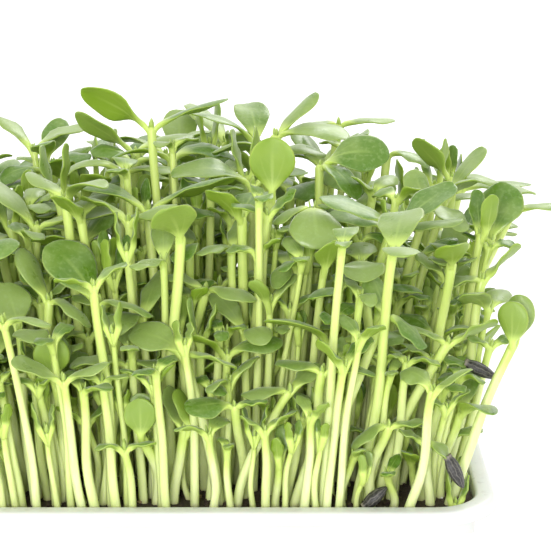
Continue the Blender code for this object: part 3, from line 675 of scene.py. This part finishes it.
class Piece:
    """Points, faces and the four form values of one piece, gathered body by body."""

    def __init__(self):
        self.points, self.values, self.faces, self.kinds = [], [], [], []
        self.count = 0

    def loft(self, rings, values, first_tip=None, last_tip=None, tone=0.5):
        """Adds a closed body through rings (rings, around, 3). values are (rings, around, 3)."""
        steps, around = rings.shape[:2]
        start = self.count
        points = rings.reshape(-1, 3)
        forms = np.concatenate([values.reshape(-1, 3), np.full((len(points), 1), tone)], axis=1)
        first = start + np.arange(steps - 1)[:, None] * around + np.arange(around)[None, :]
        second = start + np.arange(steps - 1)[:, None] * around + (np.arange(around)[None, :] + 1) % around
        quads = np.stack([first, second, second + around, first + around], axis=-1).reshape(-1, 4)
        self.faces += quads.tolist()
        below = (values[:-1, :, 2] + np.roll(values[:-1, :, 2], -1, axis=1)) / 2 > 0.5
        self.kinds += below.reshape(-1).astype(int).tolist()
        self.points.append(points)
        self.values.append(forms)
        self.count += len(points)
        last = start + (steps - 1) * around
        for ring_start, tip, turned in ((start, first_tip, True), (last, last_tip, False)):
            ring = list(range(ring_start, ring_start + around))
            if tip is None:
                self.faces.append(ring[::-1] if turned else ring)
                self.kinds.append(0)
                continue
            self.points.append(np.array([tip]))
            self.values.append(forms[[ring_start - start]])
            for j in range(around):
                a, b = ring[j], ring[(j + 1) % around]
                self.faces.append([b, a, self.count] if turned else [a, b, self.count])
                self.kinds.append(int(below[-1, j]))
            self.count += 1

    def add(self, points, faces, values):
        """Adds any closed body. values is one row of four for each point."""
        self.faces += [[self.count + k for k in face] for face in faces]
        self.kinds += [0] * len(faces)
        self.points.append(points)
        self.values.append(values)
        self.count += len(points)

    def made(self, name, looks, slot, nodes):
        """The piece as an object, in place of the nodes. A second look is for undersides."""
        mesh = bpy.data.meshes.new(name)
        mesh.from_pydata(np.concatenate(self.points).tolist(), [], self.faces)
        values = np.concatenate(self.values)
        for k, kind in enumerate(FORM):
            attribute = mesh.attributes.new(kind, "FLOAT", "POINT")
            attribute.data.foreach_set("value", values[:, k].astype(np.float32))
        mesh.shade_smooth()
        for look in looks:
            mesh.materials.append(look)
        if len(looks) > 1:
            mesh.polygons.foreach_set("material_index", self.kinds)
        mesh.update()
        piece = bpy.data.objects.new(name, mesh)
        bpy.context.scene.collection.objects.link(piece)
        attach(piece, "root")
        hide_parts(*nodes)
        return piece


def unit(vectors):
    """Each vector at length 1."""
    return vectors / np.linalg.norm(vectors, axis=-1, keepdims=True)


def fine_stem(piece, shoot, draw):
    """A stem: a slender, slightly oval and slightly wavy rod that widens under its leaves."""
    t = np.linspace(0, 1, STEM_STEPS)
    height = shoot.top.z - shoot.root.z
    middle = np.array([stem_point(shoot, share * (1 - STEM_SHORT / height)) for share in t])
    phase = [draw.uniform(0, 2 * math.pi) for _ in range(3)]
    wobble = STEM_WOBBLE * np.sin(math.pi * t)
    middle[:, 0] += wobble * np.sin(7 * t + phase[0])
    middle[:, 1] += wobble * np.sin(6 * t + phase[1])
    radius = draw.uniform(0.94, 1.04) * (STEM_RADIUS - shoot.slimmer + (STEM_TOP_RADIUS - STEM_RADIUS) * t)
    radius *= 1 + STEM_FLARE * np.clip((t - 0.9) / 0.1, 0, 1) ** 2
    ahead = unit(np.gradient(middle, axis=0))
    side = unit(np.cross(np.cross(ahead, (1.0, 0.0, 0.0)), ahead))
    other = np.cross(ahead, side)
    end, end_ahead, end_radius = middle[-1], ahead[-1], radius[-1]
    for rise, width in DOME:
        middle = np.vstack([middle, end + end_ahead * rise * end_radius])
        radius = np.append(radius, end_radius * width)
        side, other = (np.vstack([v, v[-1]]) for v in (side, other))
    sides = THIN_SIDES if shoot.slimmer > THIN else ROUND_SIDES
    turn = np.linspace(0, 2 * math.pi, sides, endpoint=False)
    shape = 1 + STEM_OVAL * np.cos(2 * turn + phase[2]) + 0.02 * np.cos(5 * turn + phase[0])
    rings = middle[:, None] + radius[:, None, None] * shape[None, :, None] * (
        np.cos(turn)[None, :, None] * side[:, None] + np.sin(turn)[None, :, None] * other[:, None]
    )
    values = np.zeros((*rings.shape[:2], 3))
    values[:, :, 0] = (rings[:, :, 2] - SOIL_TOP) / (TALL * MM)
    values[:, :, 1] = (turn / (2 * math.pi))[None, :]
    below_top = (1 - np.append(t, [1.0] * len(DOME))) * height
    values[:, :, 2] = np.clip(STALK_GREEN - below_top / STALK_ROOT, 0, 1)[:, None]
    tip = middle[-1] + end_ahead * DOME_TIP * end_radius
    piece.loft(rings, values, None, tip, draw.random())


def stalk_frames(shoot, frames, start):
    """(middle, side, normal, rise) of a stalk's way up inside the stem and out of it, along a smooth bend."""
    low = STALK_ROOT / (shoot.top.z - shoot.root.z)
    foot = stem_point(shoot, 1 - low)
    out, direction, side, _ = frames[STALK_IN]
    end = start + out
    bend = end - direction * ((end.z - foot.z) * 0.5)
    bend = Vector((shoot.top.x, shoot.top.y, min(bend.z, end.z - 0.2 * STALK_ROOT))) * 0.65 + bend * 0.35
    found = []
    for t in STALK_TURNS:
        middle = foot * (1 - t) ** 2 + bend * (2 * t * (1 - t)) + end * t * t
        ahead = ((bend - foot) * (1 - t) + (end - bend) * t).normalized()
        found.append((middle, side, ahead.cross(side), t))
    return found


def soft_roll(leaf, share, direction, vectors):
    """Two vectors of the part's leaf turned, so that its roll builds up softly along it."""
    far = min(1.0, share / SOFT_ROLL)
    more = far * far * (3 - 2 * far) - min(1.0, share / ROLL_START)
    turn = Quaternion(direction, math.radians(leaf.roll) * more)
    return [turn @ vector for vector in vectors]


def fine_half_width(share, width):
    """The part's half width, more slender where the blade runs into the stalk."""
    near_stalk = max(0.0, min(1.0, (WIDEST - share) / WIDEST))
    blade = half_width(share, width) - STALK_HALF_WIDTH
    return STALK_HALF_WIDTH + blade * (1 - TAPER * near_stalk**2) if blade > 0 else half_width(share, width)


def fine_leaf(piece, shoot, leaf, draw, tone):
    """A seed leaf: a thick oval blade on a channelled stalk, with a groove above and a ridge below."""
    thin = shoot.slimmer > THIN
    shares, points = (THIN_SHARES, THIN_TOP_POINTS) if thin else (LEAF_SHARES, TOP_POINTS)
    frames = [leaf_frame(leaf, share) for share in shares]
    start = shoot.top + level(leaf.heading) * STALK_OUT
    stalk = stalk_frames(shoot, frames, start)
    rows = [(middle, side, normal, 0.0) for middle, side, normal, _ in stalk]
    for (offset, direction, *across), s in list(zip(frames, shares))[STALK_IN:]:
        rows.append((start + offset, *soft_roll(leaf, s, direction, across), s))
    middle, side, normal = (np.array([row[k] for row in rows]) for k in range(3))
    share = np.array([row[3] for row in rows])
    half = np.array([fine_half_width(s, leaf.width * MM) for s in share])
    thickness = np.interp(share, STALK_SHARES, STALK_FADES) * (STALK_THICKNESS - BLADE_THICKNESS)
    thickness += np.interp(share, (0, 0.6, 1), (BLADE_THICKNESS, BLADE_THICKNESS, TIP_THICKNESS))
    sunk = np.array([t for _, _, _, t in stalk] + [1.0] * (len(rows) - len(stalk)))
    half *= 0.8 + 0.2 * sunk
    thickness *= 0.25 + 0.75 * sunk**0.7
    w = np.sin(np.linspace(-math.pi / 2, math.pi / 2, points))
    rib = np.exp(-((w / RIB_WIDTH) ** 2))
    blade = np.clip((share - 0.1) / 0.25, 0, 1)
    cup = draw.uniform(*CUP)
    phase, beats = draw.uniform(0, 2 * math.pi), draw.uniform(1.0, 2.2)
    wave = WAVE * blade[:, None] * np.sin(2 * math.pi * beats * share[:, None] + phase + (w > 0) * 1.7) * w**2
    above = cup * (half * blade)[:, None] * w**2 + wave
    fading = (blade * (1 - share) ** 0.6)[:, None]
    upper = above - GROOVE * rib * fading - 0.2 * thickness[:, None] * w**8
    lower = above - thickness[:, None] * np.sqrt(np.clip(1 - w**4, 0, 1)) - RIDGE * rib * fading
    lower = np.minimum(lower, upper)
    order = np.arange(points - 2, 0, -1)
    sideways = np.concatenate([w, w[order]])
    heights = np.concatenate([upper, lower[:, order]], axis=1)
    rings = middle[:, None] + (half[:, None] * sideways)[:, :, None] * side[:, None]
    rings = rings + heights[:, :, None] * normal[:, None]
    values = np.zeros((*rings.shape[:2], 3))
    values[:, :, 0] = share[:, None]
    values[:, :, 1] = sideways
    values[:, :, 2] = np.concatenate([(np.abs(w) > 0.99) * 0.5, np.ones(len(order))])
    tip = np.array(start + leaf_frame(leaf, 1.0)[0]) - normal[-1] * TIP_THICKNESS / 2
    piece.loft(rings[:, ::-1], values[:, ::-1], None, tip, tone)


BUD_LEAF = Leaf(0, 62, 88, 3.2, 1.5)
BUD_SHARES = (0.0, 0.3, 0.6, 0.85)
BUD_SINK = Vector((0, 0, 1.5)) * MM
BUD_ABOVE, BUD_BELOW = 0.25 * MM, 0.35 * MM  # how far its middle stands out above and below
BUD_FORM = (0.16, 0.5, 0.0)
BUD_TONE = 0.3


def bud(piece, shoot, draw):
    """The two tiny true leaves that push up between the seed leaves."""
    heading = shoot.leaves[0].heading + 90
    size = draw.uniform(0.7, 1.25)
    for turn in (0, 180):
        length, width = BUD_LEAF.length * size, BUD_LEAF.width * size
        leaf = BUD_LEAF._replace(heading=heading + turn, length=length, width=width)
        rings = []
        for share in BUD_SHARES:
            offset, _, side, normal = leaf_frame(leaf, share)
            half = width * MM / 2 * math.sin(math.pi * (0.25 + 0.72 * share))
            ring = [side * half, normal * BUD_ABOVE, side * -half, normal * -BUD_BELOW]
            rings.append([np.array(shoot.top + offset - BUD_SINK + v) for v in ring])
        values = np.tile(BUD_FORM, (len(BUD_SHARES), 4, 1))
        tip = np.array(shoot.top + leaf_frame(leaf, 1.0)[0] - BUD_SINK)
        piece.loft(np.array(rings), values, None, tip, BUD_TONE)


# ---------------------------------------------------------------- materials


class Look:
    """A material, with short calls for the nodes that are used here."""

    def __init__(self, name):
        self.material = bpy.data.materials.new(name)
        self.material.use_nodes = True
        self.tree = self.material.node_tree
        self.shader = self.tree.nodes["Principled BSDF"].inputs

    def put(self, socket, value):
        """Links a socket, or sets it."""
        if isinstance(value, bpy.types.NodeSocket):
            self.tree.links.new(value, socket)
        elif isinstance(value, tuple):
            socket.default_value = (*value, 1)
        else:
            socket.default_value = value

    def form(self, kind):
        """One of the piece's own form values."""
        node = self.tree.nodes.new("ShaderNodeAttribute")
        node.attribute_name = kind
        return node.outputs["Fac"]

    def noise(self, scale, detail=2.0, stretch=(1, 1, 1)):
        """Noise in the object's own space. scale is in waves a metre."""
        place = self.tree.nodes.new("ShaderNodeTexCoord")
        mapping = self.tree.nodes.new("ShaderNodeMapping")
        mapping.inputs["Scale"].default_value = stretch
        node = self.tree.nodes.new("ShaderNodeTexNoise")
        node.inputs["Scale"].default_value = scale
        node.inputs["Detail"].default_value = detail
        self.tree.links.new(place.outputs["Object"], mapping.inputs["Vector"])
        self.tree.links.new(mapping.outputs["Vector"], node.inputs["Vector"])
        return node.outputs["Fac"]

    def span(self, value, low, high, to_low=0.0, to_high=1.0):
        """Carries low to to_low and high to to_high, smoothly and no further."""
        node = self.tree.nodes.new("ShaderNodeMapRange")
        node.interpolation_type = "SMOOTHSTEP"
        self.put(node.inputs["Value"], value)
        for name, number in (("From Min", low), ("From Max", high), ("To Min", to_low), ("To Max", to_high)):
            node.inputs[name].default_value = number
        return node.outputs["Result"]

    def math(self, operation, first, second=0.0):
        """A Math node."""
        node = self.tree.nodes.new("ShaderNodeMath")
        node.operation = operation
        self.put(node.inputs[0], first)
        self.put(node.inputs[1], second)
        return node.outputs["Value"]

    def mix(self, share, first, second):
        """The first colour, with a share of the second."""
        node = self.tree.nodes.new("ShaderNodeMix")
        node.data_type = "RGBA"
        self.put(node.inputs["Factor"], share)
        self.put(node.inputs[6], first)
        self.put(node.inputs[7], second)
        return node.outputs[2]

    def fleshy(self, depth, weight):
        """Lets light through the plant's flesh."""
        self.shader["Subsurface Weight"].default_value = weight
        self.shader["Subsurface Radius"].default_value = (0.9, 1.0, 0.35)
        self.shader["Subsurface Scale"].default_value = depth

    def done(self, colour, cloud, roughness, grain, depth, strength=1.0):
        """The finished material: its roughness follows one noise, and its bumps, depth high, another."""
        self.put(self.shader["Base Color"], colour)
        self.put(self.shader["Roughness"], self.span(cloud, 0.3, 0.7, *roughness))
        node = self.tree.nodes.new("ShaderNodeBump")
        node.inputs["Strength"].default_value = strength
        node.inputs["Distance"].default_value = depth
        self.tree.links.new(grain, node.inputs["Height"])
        self.tree.links.new(node.outputs["Normal"], self.shader["Normal"])
        return self.material


STALK_COLOUR = (0.56, 0.70, 0.17)


def ribbed(look, colour, rib_colour, rim_colour):
    """The leaf's colour with its paler ribs, rim and stalk."""
    along, across = look.form("form_along"), look.form("form_across")
    wide = look.math("ABSOLUTE", across)
    rib = look.math("MULTIPLY", look.span(wide, 0.12, 0.02), look.span(along, 0.95, 0.2, 0.0, 0.6))
    bent = look.math("MULTIPLY", look.math("SQRT", along), 0.62)
    beside = look.math("ABSOLUTE", look.math("SUBTRACT", wide, bent))
    vein = look.math("MULTIPLY", look.span(beside, 0.07, 0.0), look.span(along, 0.8, 0.25, 0.0, 0.22))
    colour = look.mix(look.math("MAXIMUM", rib, vein), colour, rib_colour)
    colour = look.mix(look.span(wide, 0.9, 1.0, 0.0, 0.5), colour, rim_colour)
    return look.mix(look.span(along, 0.3, 0.03), colour, STALK_COLOUR)


def leaf_look():
    """The upper side: green with a grey waxy bloom in soft patches, stronger on some leaves; the paler
    patches are partly that bloom and partly painted sheen.
    """
    look = Look("seed_leaf_top")
    tone = look.form("form_tone")
    patches, specks = look.noise(130, 3), look.noise(900, 2)
    # paler patches: partly the waxy bloom, partly painted sheen of light on the leaf tops
    bloom_and_sheen = look.span(look.math("ADD", look.math("MULTIPLY", tone, 0.9), patches), 0.5, 1.2)
    colour = look.mix(bloom_and_sheen, (0.085, 0.185, 0.009), (0.235, 0.335, 0.078))
    colour = look.mix(look.span(specks, 0.45, 0.75, 0.0, 0.3), colour, (0.30, 0.41, 0.16))
    colour = ribbed(look, colour, (0.30, 0.42, 0.10), (0.40, 0.50, 0.13))
    look.put(look.shader["Sheen Weight"], 0.35)
    look.put(look.shader["Sheen Roughness"], 0.35)
    look.put(look.shader["Sheen Tint"], (0.88, 0.95, 0.82))
    look.fleshy(1.2 * MM, 0.25)
    return look.done(colour, patches, (0.27, 0.42), specks, 0.08 * MM, 0.6)


def underside_look():
    """The lower side: a clear yellow-green without the bloom, whose saturated brightness is partly its own
    colour and partly painted glow of light shining through the leaf.
    """
    look = Look("seed_leaf_underside")
    tone = look.form("form_tone")
    patches, specks = look.noise(150, 3), look.noise(900, 2)
    # saturated yellow-green: partly the underside's own green, partly painted glow of backlight through the
    # leaf
    colour = look.mix(patches, (0.17, 0.29, 0.012), (0.25, 0.36, 0.04))
    colour = look.mix(look.span(tone, 0.4, 1.0, 0.0, 0.5), colour, (0.24, 0.34, 0.075))
    colour = ribbed(look, colour, (0.36, 0.47, 0.11), (0.40, 0.50, 0.12))
    look.fleshy(1.4 * MM, 0.35)
    return look.done(colour, patches, (0.4, 0.55), specks, 0.08 * MM, 0.6)


def stem_look():
    """Pale at the foot, yellow-green further up and the stalks' green at the top, with fine streaks."""
    look = Look("stem")
    along, near_leaf, tone = (look.form(kind) for kind in ("form_along", "form_under", "form_tone"))
    streaks = look.noise(600, 2, (1, 1, 0.06))
    foot = look.mix(tone, (0.70, 0.79, 0.33), (0.79, 0.86, 0.46))
    upper = look.mix(tone, (0.60, 0.74, 0.19), (0.69, 0.78, 0.28))
    colour = look.mix(look.span(along, 0.0, 0.65), foot, upper)
    colour = look.mix(near_leaf, colour, STALK_COLOUR)
    colour = look.mix(look.span(streaks, 0.35, 0.7, 0.0, 0.35), colour, (0.52, 0.62, 0.17))
    colour = look.mix(look.span(along, 0.02, -0.01, 0.0, 0.5), colour, (0.35, 0.28, 0.16))
    look.fleshy(1.6 * MM, 0.3)
    return look.done(colour, streaks, (0.3, 0.44), streaks, 0.1 * MM, 0.5)


def hull_look():
    """Nearly black, with pale stripes along it and a dusty bloom."""
    look = Look("hull")
    along, across, _, tone = (look.form(kind) for kind in FORM)
    waver = look.math("MULTIPLY", look.noise(500, 2), 0.12)
    turn = look.math("MULTIPLY", look.math("ADD", across, waver), 2 * math.pi * 9)
    stripe = look.span(look.math("SINE", turn), 0.5, 1.0, 0.0, 0.6)
    dust = look.noise(1400, 3)
    colour = look.mix(look.span(dust, 0.4, 0.75), (0.022, 0.021, 0.02), (0.085, 0.08, 0.075))
    colour = look.mix(stripe, colour, (0.19, 0.18, 0.155))
    colour = look.mix(look.span(along, 0.12, 0.0, 0.0, 0.7), colour, (0.36, 0.32, 0.25))
    return look.done(colour, dust, (0.35, 0.6), dust, 0.12 * MM, 0.7)


def soil_look():
    """Dark crumbly growing medium, with fibres a little lighter."""
    look = Look("soil")
    tone = look.form("form_tone")
    grains, clods = look.noise(1500, 4), look.noise(160, 3)
    colour = look.mix(grains, (0.012, 0.008, 0.006), (0.085, 0.055, 0.035))
    colour = look.mix(look.span(clods, 0.4, 0.7, 0.0, 0.6), colour, (0.05, 0.033, 0.022))
    colour = look.mix(look.span(tone, 0.9, 0.95), colour, (0.30, 0.21, 0.12))
    colour = look.mix(look.span(tone, 0.97, 0.98), colour, (0.75, 0.74, 0.70))
    return look.done(colour, clods, (0.8, 1.0), grains, 0.6 * MM)


def tray_look():
    """White moulded plastic, satin, with a fine grain and a little soil dust inside."""
    look = Look("tray_plastic")
    grain, cloud = look.noise(2600, 2), look.noise(35, 2)
    colour = look.mix(look.span(cloud, 0.3, 0.7), (0.66, 0.67, 0.65), (0.71, 0.72, 0.70))
    inside = look.form("form_under")
    dust = look.math("MULTIPLY", look.span(look.noise(420, 4), 0.52, 0.68), inside)
    colour = look.mix(look.math("MULTIPLY", dust, 0.6), colour, (0.12, 0.085, 0.06))
    look.put(look.shader["Subsurface Weight"], 0.1)
    look.put(look.shader["Subsurface Scale"], 1.0 * MM)
    return look.done(colour, cloud, (0.3, 0.42), grain, 0.05 * MM, 0.5)


# ---------------------------------------------------------------- tray, soil and hulls

CORNER_STEPS = 12
SIDE_STEPS = 8
FOOT_BEND, RIM_BEND, INNER_BEND = 4 * MM, 1.6 * MM, 1.2 * MM
RIM_DUST = 0.4  # how much of the soil's dust the rim's inner bend has


def rounded_ring(length, width, radius, z):
    """Points round a rounded rectangle, against the clock seen from above."""
    points = []
    for quarter, (sx, sy) in enumerate(((1, 1), (-1, 1), (-1, -1), (1, -1))):
        middle = np.array((sx * (length / 2 - radius), sy * (width / 2 - radius), z))
        for k in range(CORNER_STEPS + 1):
            turn = math.pi / 2 * (quarter + k / CORNER_STEPS)
            points.append(middle + radius * np.array((math.cos(turn), math.sin(turn), 0)))
    ring = []
    for k, point in enumerate(points):
        ring.append(point)
        if (k + 1) % (CORNER_STEPS + 1) == 0:
            ahead = points[(k + 1) % len(points)]
            ring += [point + (ahead - point) * j / SIDE_STEPS for j in range(1, SIDE_STEPS)]
    return np.array(ring)


def foot_ring(out, z):
    """A level ring that stands this far out from the tray's foot line."""
    return rounded_ring(FOOT_LENGTH + 2 * out, FOOT_WIDTH + 2 * out, CORNER_RADIUS - FLARE + out, z)


def bend(x, z, radius, first, last, steps, inside):
    """Points of the tray's profile round a bend, from one angle to another in quarter turns."""
    turns = (math.pi / 2 * (first + (last - first) * k / steps) for k in range(steps + 1))
    return [(x + radius * math.cos(turn), z + radius * math.sin(turn), inside) for turn in turns]


def tray_profile():
    """(how far out from the foot's edge, height, inside) up the outside, over the rim and down the inside."""
    slope = FLARE / TRAY_HEIGHT
    low_rim, under = TRAY_HEIGHT - LIP_DOWN, TRAY_HEIGHT - WALL
    start = slope * under
    reach = start + RIM_OUT
    out = bend(-FOOT_BEND, FOOT_BEND, FOOT_BEND, -1, 0, 6, 0)
    for share in (0.25, 0.5, 0.75, 0.97):
        z = FOOT_BEND + (low_rim - FOOT_BEND) * share
        out.append((slope * z, z, 0))
    # the rim's underside, and the lip down and up again
    out += [
        (start, under - 0.9 * MM, 0),
        (start + 0.3 * MM, under - 0.25 * MM, 0),
        (start + 1.0 * MM, under, 0),
        (reach - 0.9 * MM, under, 0),
        (reach - 0.35 * MM, under - 0.3 * MM, 0),
        (reach - 0.2 * MM + 0.3 * LIP_OUT, low_rim + 0.6 * MM, 0),
        (reach - 0.1 * MM + 0.5 * LIP_OUT, low_rim, 0),
        (reach + LIP_OUT, low_rim + 0.1 * MM, 0),
        (reach + LIP_OUT, low_rim + 0.8 * MM, 0),
    ]
    out += bend(reach - RIM_BEND, TRAY_HEIGHT - RIM_BEND, RIM_BEND, 0, 1, 5, 0)
    out += bend(start - WALL + INNER_BEND, TRAY_HEIGHT - INNER_BEND, INNER_BEND, 1, 2, 4, RIM_DUST)
    out += [(slope * TRAY_HEIGHT * share - WALL, TRAY_HEIGHT * share, 1) for share in (0.75, 0.5, 0.25)]
    return out + bend(-FOOT_BEND, FOOT_BEND, FOOT_BEND - WALL, 0, -1, 5, 1)


def fine_tray(look):
    """The tray as one thin shell with rounded edges."""
    piece = Piece()
    profile = tray_profile()
    rings = np.array([foot_ring(out, z) for out, z, _ in profile])
    values = np.zeros(rings.shape)
    values[:, :, 2] = np.array([inside for *_, inside in profile])[:, None]
    piece.loft(rings, values)
    return piece.made("growing_tray", [look], "tray_plastic", ["tray"])


SOIL_CELL = 1.3 * MM
SOIL_ROUGHNESS = 0.9 * MM
CRUMBS = 1500
CRUMB_SIZE = (0.35, 1.1)  # millimetres, radius
CRUMB_EDGE = 6 * MM
CRUMB_RAISED = 0.3  # how far a crumb's middle lies over the soil, as a share of its size


def soil_height(x, y):
    """How high the soil's surface lies."""
    place = Vector((x, y, 0)) / MM
    rough = noise.noise(place * 0.12) * 0.9 + noise.noise(place * 0.45) * 0.5 + noise.noise(place * 1.1) * 0.3
    return SOIL_TOP + SOIL_ROUGHNESS * rough


def fine_soil(look):
    """The block of soil with a rough top, and loose crumbs on it."""
    draw = random.Random(SEED)
    piece = Piece()
    low = WALL + GAP
    heights = ((low, 4 * MM), (low + 2 * MM, 0), (SOIL_TOP * 0.6, 0), (SOIL_TOP - 1.5 * MM, 0))
    rings = [foot_ring(soil_slope(z) - inset, z) for z, inset in heights]
    edge = soil_slope(SOIL_TOP)
    length, width = FOOT_LENGTH + 2 * edge, FOOT_WIDTH + 2 * edge
    steps = int(width / 2 / SOIL_CELL)
    for k in range(steps):
        shrink = 1 - (k + 0.2) / steps
        ring = rounded_ring(length * shrink, width * shrink, (CORNER_RADIUS - FLARE + edge) * shrink, 0)
        for point in ring:
            point[2] = soil_height(point[0], point[1])
        rings.append(ring)
    rings = np.array(rings)
    piece.loft(rings, np.zeros((*rings.shape[:2], 3)), None, (0, 0, soil_height(0, 0)), 0.5)
    add_crumbs(piece, draw, length - CRUMB_EDGE, width - CRUMB_EDGE)
    return piece.made("soil_block", [look], "soil", ["soil"])


def add_crumbs(piece, draw, length, width):
    """Loose, lumpy crumbs on the soil."""
    ball = bmesh.new()
    bmesh.ops.create_icosphere(ball, subdivisions=1, radius=1.0)
    corners = np.array([v.co for v in ball.verts])
    faces = [[v.index for v in f.verts] for f in ball.faces]
    ball.free()
    for _ in range(CRUMBS):
        x = draw.uniform(-0.5, 0.5) * length
        y = draw.uniform(-0.5, 0.5) * width
        size = draw.uniform(*CRUMB_SIZE) * MM
        shape = np.array([draw.uniform(0.6, 1.3) for _ in range(3)]) * size
        turn = draw.uniform(0, math.pi)
        lumps = np.array([[draw.uniform(0.75, 1.2)] for _ in corners])
        cos, sin = math.cos(turn), math.sin(turn)
        spun = corners * lumps * shape @ np.array(((cos, sin, 0), (-sin, cos, 0), (0, 0, 1)))
        centre = np.array((x, y, soil_height(x, y) + CRUMB_RAISED * size))
        form = np.tile((0.0, 0.0, 0.0, draw.random()), (len(corners), 1))
        piece.add(spun + centre, faces, form)


HULL_ROUND = 16
HULL_SHARES = (0.0, 0.04, 0.1, 0.18, 0.28, 0.4, 0.52, 0.64, 0.75, 0.85, 0.93, 0.98)
HULL_GRIP = 1.6 * MM  # how far a held hull reaches back over the leaf's tip
HULL_WALL = 0.35 * MM
HULL_MOUTH = 0.5  # how wide its mouth is, as a share of its width
HALF = 0.5
MOUTH_SHARES = (0.35, 0.12, 0.02)
INNER_END = 0.4
HULL_RIBS, HULL_RIB_HEIGHT = 8, 0.035
HULL_PLUMPER = 1.2  # how much thicker a fine hull is than the part's


def fine_hull(number, foot, direction, side, look, draw, grip):
    """An empty seed hull, with a mouth at its blunt foot and ribs along it."""
    piece = Piece()
    direction, side = np.array(direction), np.array(side)
    normal = np.cross(direction, side)
    foot = np.array(foot) - direction * grip
    length = HULL_LENGTH + grip
    turn = np.linspace(0, 2 * math.pi, HULL_ROUND, endpoint=False)
    ribs = 1 + HULL_RIB_HEIGHT * np.cos(HULL_RIBS * turn)
    half_wide, half_flat = HULL_WIDTH / 2, HULL_THICKNESS / 2 * HULL_PLUMPER
    swells = [(share, HULL_MOUTH) for share in MOUTH_SHARES]
    for share in HULL_SHARES:
        swell = math.sin(math.pi * share**HULL_WIDEST) ** HULL_FULLNESS
        swells.append((share, swell if share > HALF else max(HULL_MOUTH + HULL_WALL / half_wide, swell)))
    around = np.cos(turn)[:, None] * side * half_wide + np.sin(turn)[:, None] * normal * half_flat
    around *= ribs[:, None]
    rings = np.array([foot + direction * length * share + around * swell for share, swell in swells])
    values = np.zeros(rings.shape)
    values[:, :, 0] = np.append([0.0] * len(MOUTH_SHARES), HULL_SHARES)[:, None]
    values[:, :, 1] = (turn / (2 * math.pi))[None, :]
    inner = foot + direction * length * INNER_END
    piece.loft(rings, values, inner, foot + direction * length, draw.random())
    return piece.made(f"hull_{number}", [look], "hull", [f"seed_hull_{number}"])


def fine_hulls(shoots, look):
    """All the hulls, in the part's order."""
    draw = random.Random(SEED)
    lines = [(*held_line(shoot), HULL_GRIP) for shoot in shoots if shoot.hull]
    lines += [(*resting_line(*place), 0.0) for place in RESTING_HULLS]
    for number, (foot, direction, side, grip) in enumerate(lines, 1):
        fine_hull(number, foot, direction, side, look, draw, grip)


# ---------------------------------------------------------------- the stage

WORLD_LIGHT = 1.16
LAMPS = (  # name, place, size and power
    ("front", (-0.18, -1.15, 0.4), 0.45, 7.6),
    ("back", (0.5, 1.0, 1.1), 0.8, 9),
)
LIT_POINT = Vector((0, 0, 0.08))
FLOOR_RADIUS = 6.0
FLOOR_Z = -0.2 * MM


def stage():
    """A plain white floor, soft light from all round, and the camera."""
    bm = bmesh.new()
    bmesh.ops.create_circle(bm, cap_ends=True, segments=96, radius=FLOOR_RADIUS)
    mesh = bpy.data.meshes.new("floor")
    bm.to_mesh(mesh)
    bm.free()
    floor = bpy.data.objects.new("floor", mesh)
    bpy.context.scene.collection.objects.link(floor)
    look = Look("floor")
    look.put(look.shader["Roughness"], 0.9)
    look.put(look.shader["Base Color"], look.mix(look.noise(3), (0.93, 0.93, 0.93), (0.95, 0.95, 0.95)))
    floor.data.materials.append(look.material)
    floor.location.z = FLOOR_Z
    floor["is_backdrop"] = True

    world = bpy.data.worlds.new("studio")
    bpy.context.scene.world = world
    world.use_nodes = True
    background = world.node_tree.nodes["Background"].inputs
    background["Color"].default_value = (1, 1, 1, 1)
    background["Strength"].default_value = WORLD_LIGHT

    for name, place, size, power in LAMPS:
        lamp = bpy.data.lights.new(name, "AREA")
        lamp.shape = "DISK"
        lamp.size = size
        lamp.energy = power
        holder = bpy.data.objects.new(name, lamp)
        holder.location = place
        holder.rotation_euler = (LIT_POINT - Vector(place)).to_track_quat("-Z", "Y").to_euler()
        bpy.context.scene.collection.objects.link(holder)

    camera = bpy.data.objects.new("camera", bpy.data.cameras.new("camera"))
    camera.data.sensor_width = SENSOR
    camera.data.lens = LENS
    camera.location = VIEW_TARGET + VIEW_BACK * VIEW_DISTANCE
    camera.rotation_euler = (-VIEW_BACK).to_track_quat("-Z", "Y").to_euler()
    bpy.context.scene.collection.objects.link(camera)
    bpy.context.scene.camera = camera
    bpy.context.scene.view_settings.view_transform = "Standard"


def main():
    """Makes every piece."""
    shoots = filled_stand()
    leaf_greens, stem_green = [leaf_look(), underside_look()], stem_look()
    draw = random.Random(FILL_SEED)
    cells = sorted({shoot.cell for shoot in shoots}, key=lambda c: (c[1], c[0]))
    for number, cell in enumerate(cells, 1):
        stems, leaves = Piece(), Piece()
        for shoot in (s for s in shoots if s.cell == cell):
            fine_stem(stems, shoot, draw)
            tone = draw.random()
            for leaf in shoot.leaves:
                fine_leaf(leaves, shoot, leaf, draw, min(1.0, max(0.0, tone + draw.uniform(-0.15, 0.15))))
            bud(leaves, shoot, draw)
        stems.made(f"stems_{number:02d}", [stem_green], "shoot_green", [f"shoots_{number:02d}"])
        leaves.made(f"leaves_{number:02d}", leaf_greens, "shoot_green", [f"shoots_{number:02d}"])
    fine_hulls(shoots, hull_look())
    fine_tray(tray_look())
    fine_soil(soil_look())
    stage()


main()
boxes = {"cad": CAD_BOX, "visual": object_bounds()}
{name: [list(corner) for corner in box] for name, box in boxes.items()}
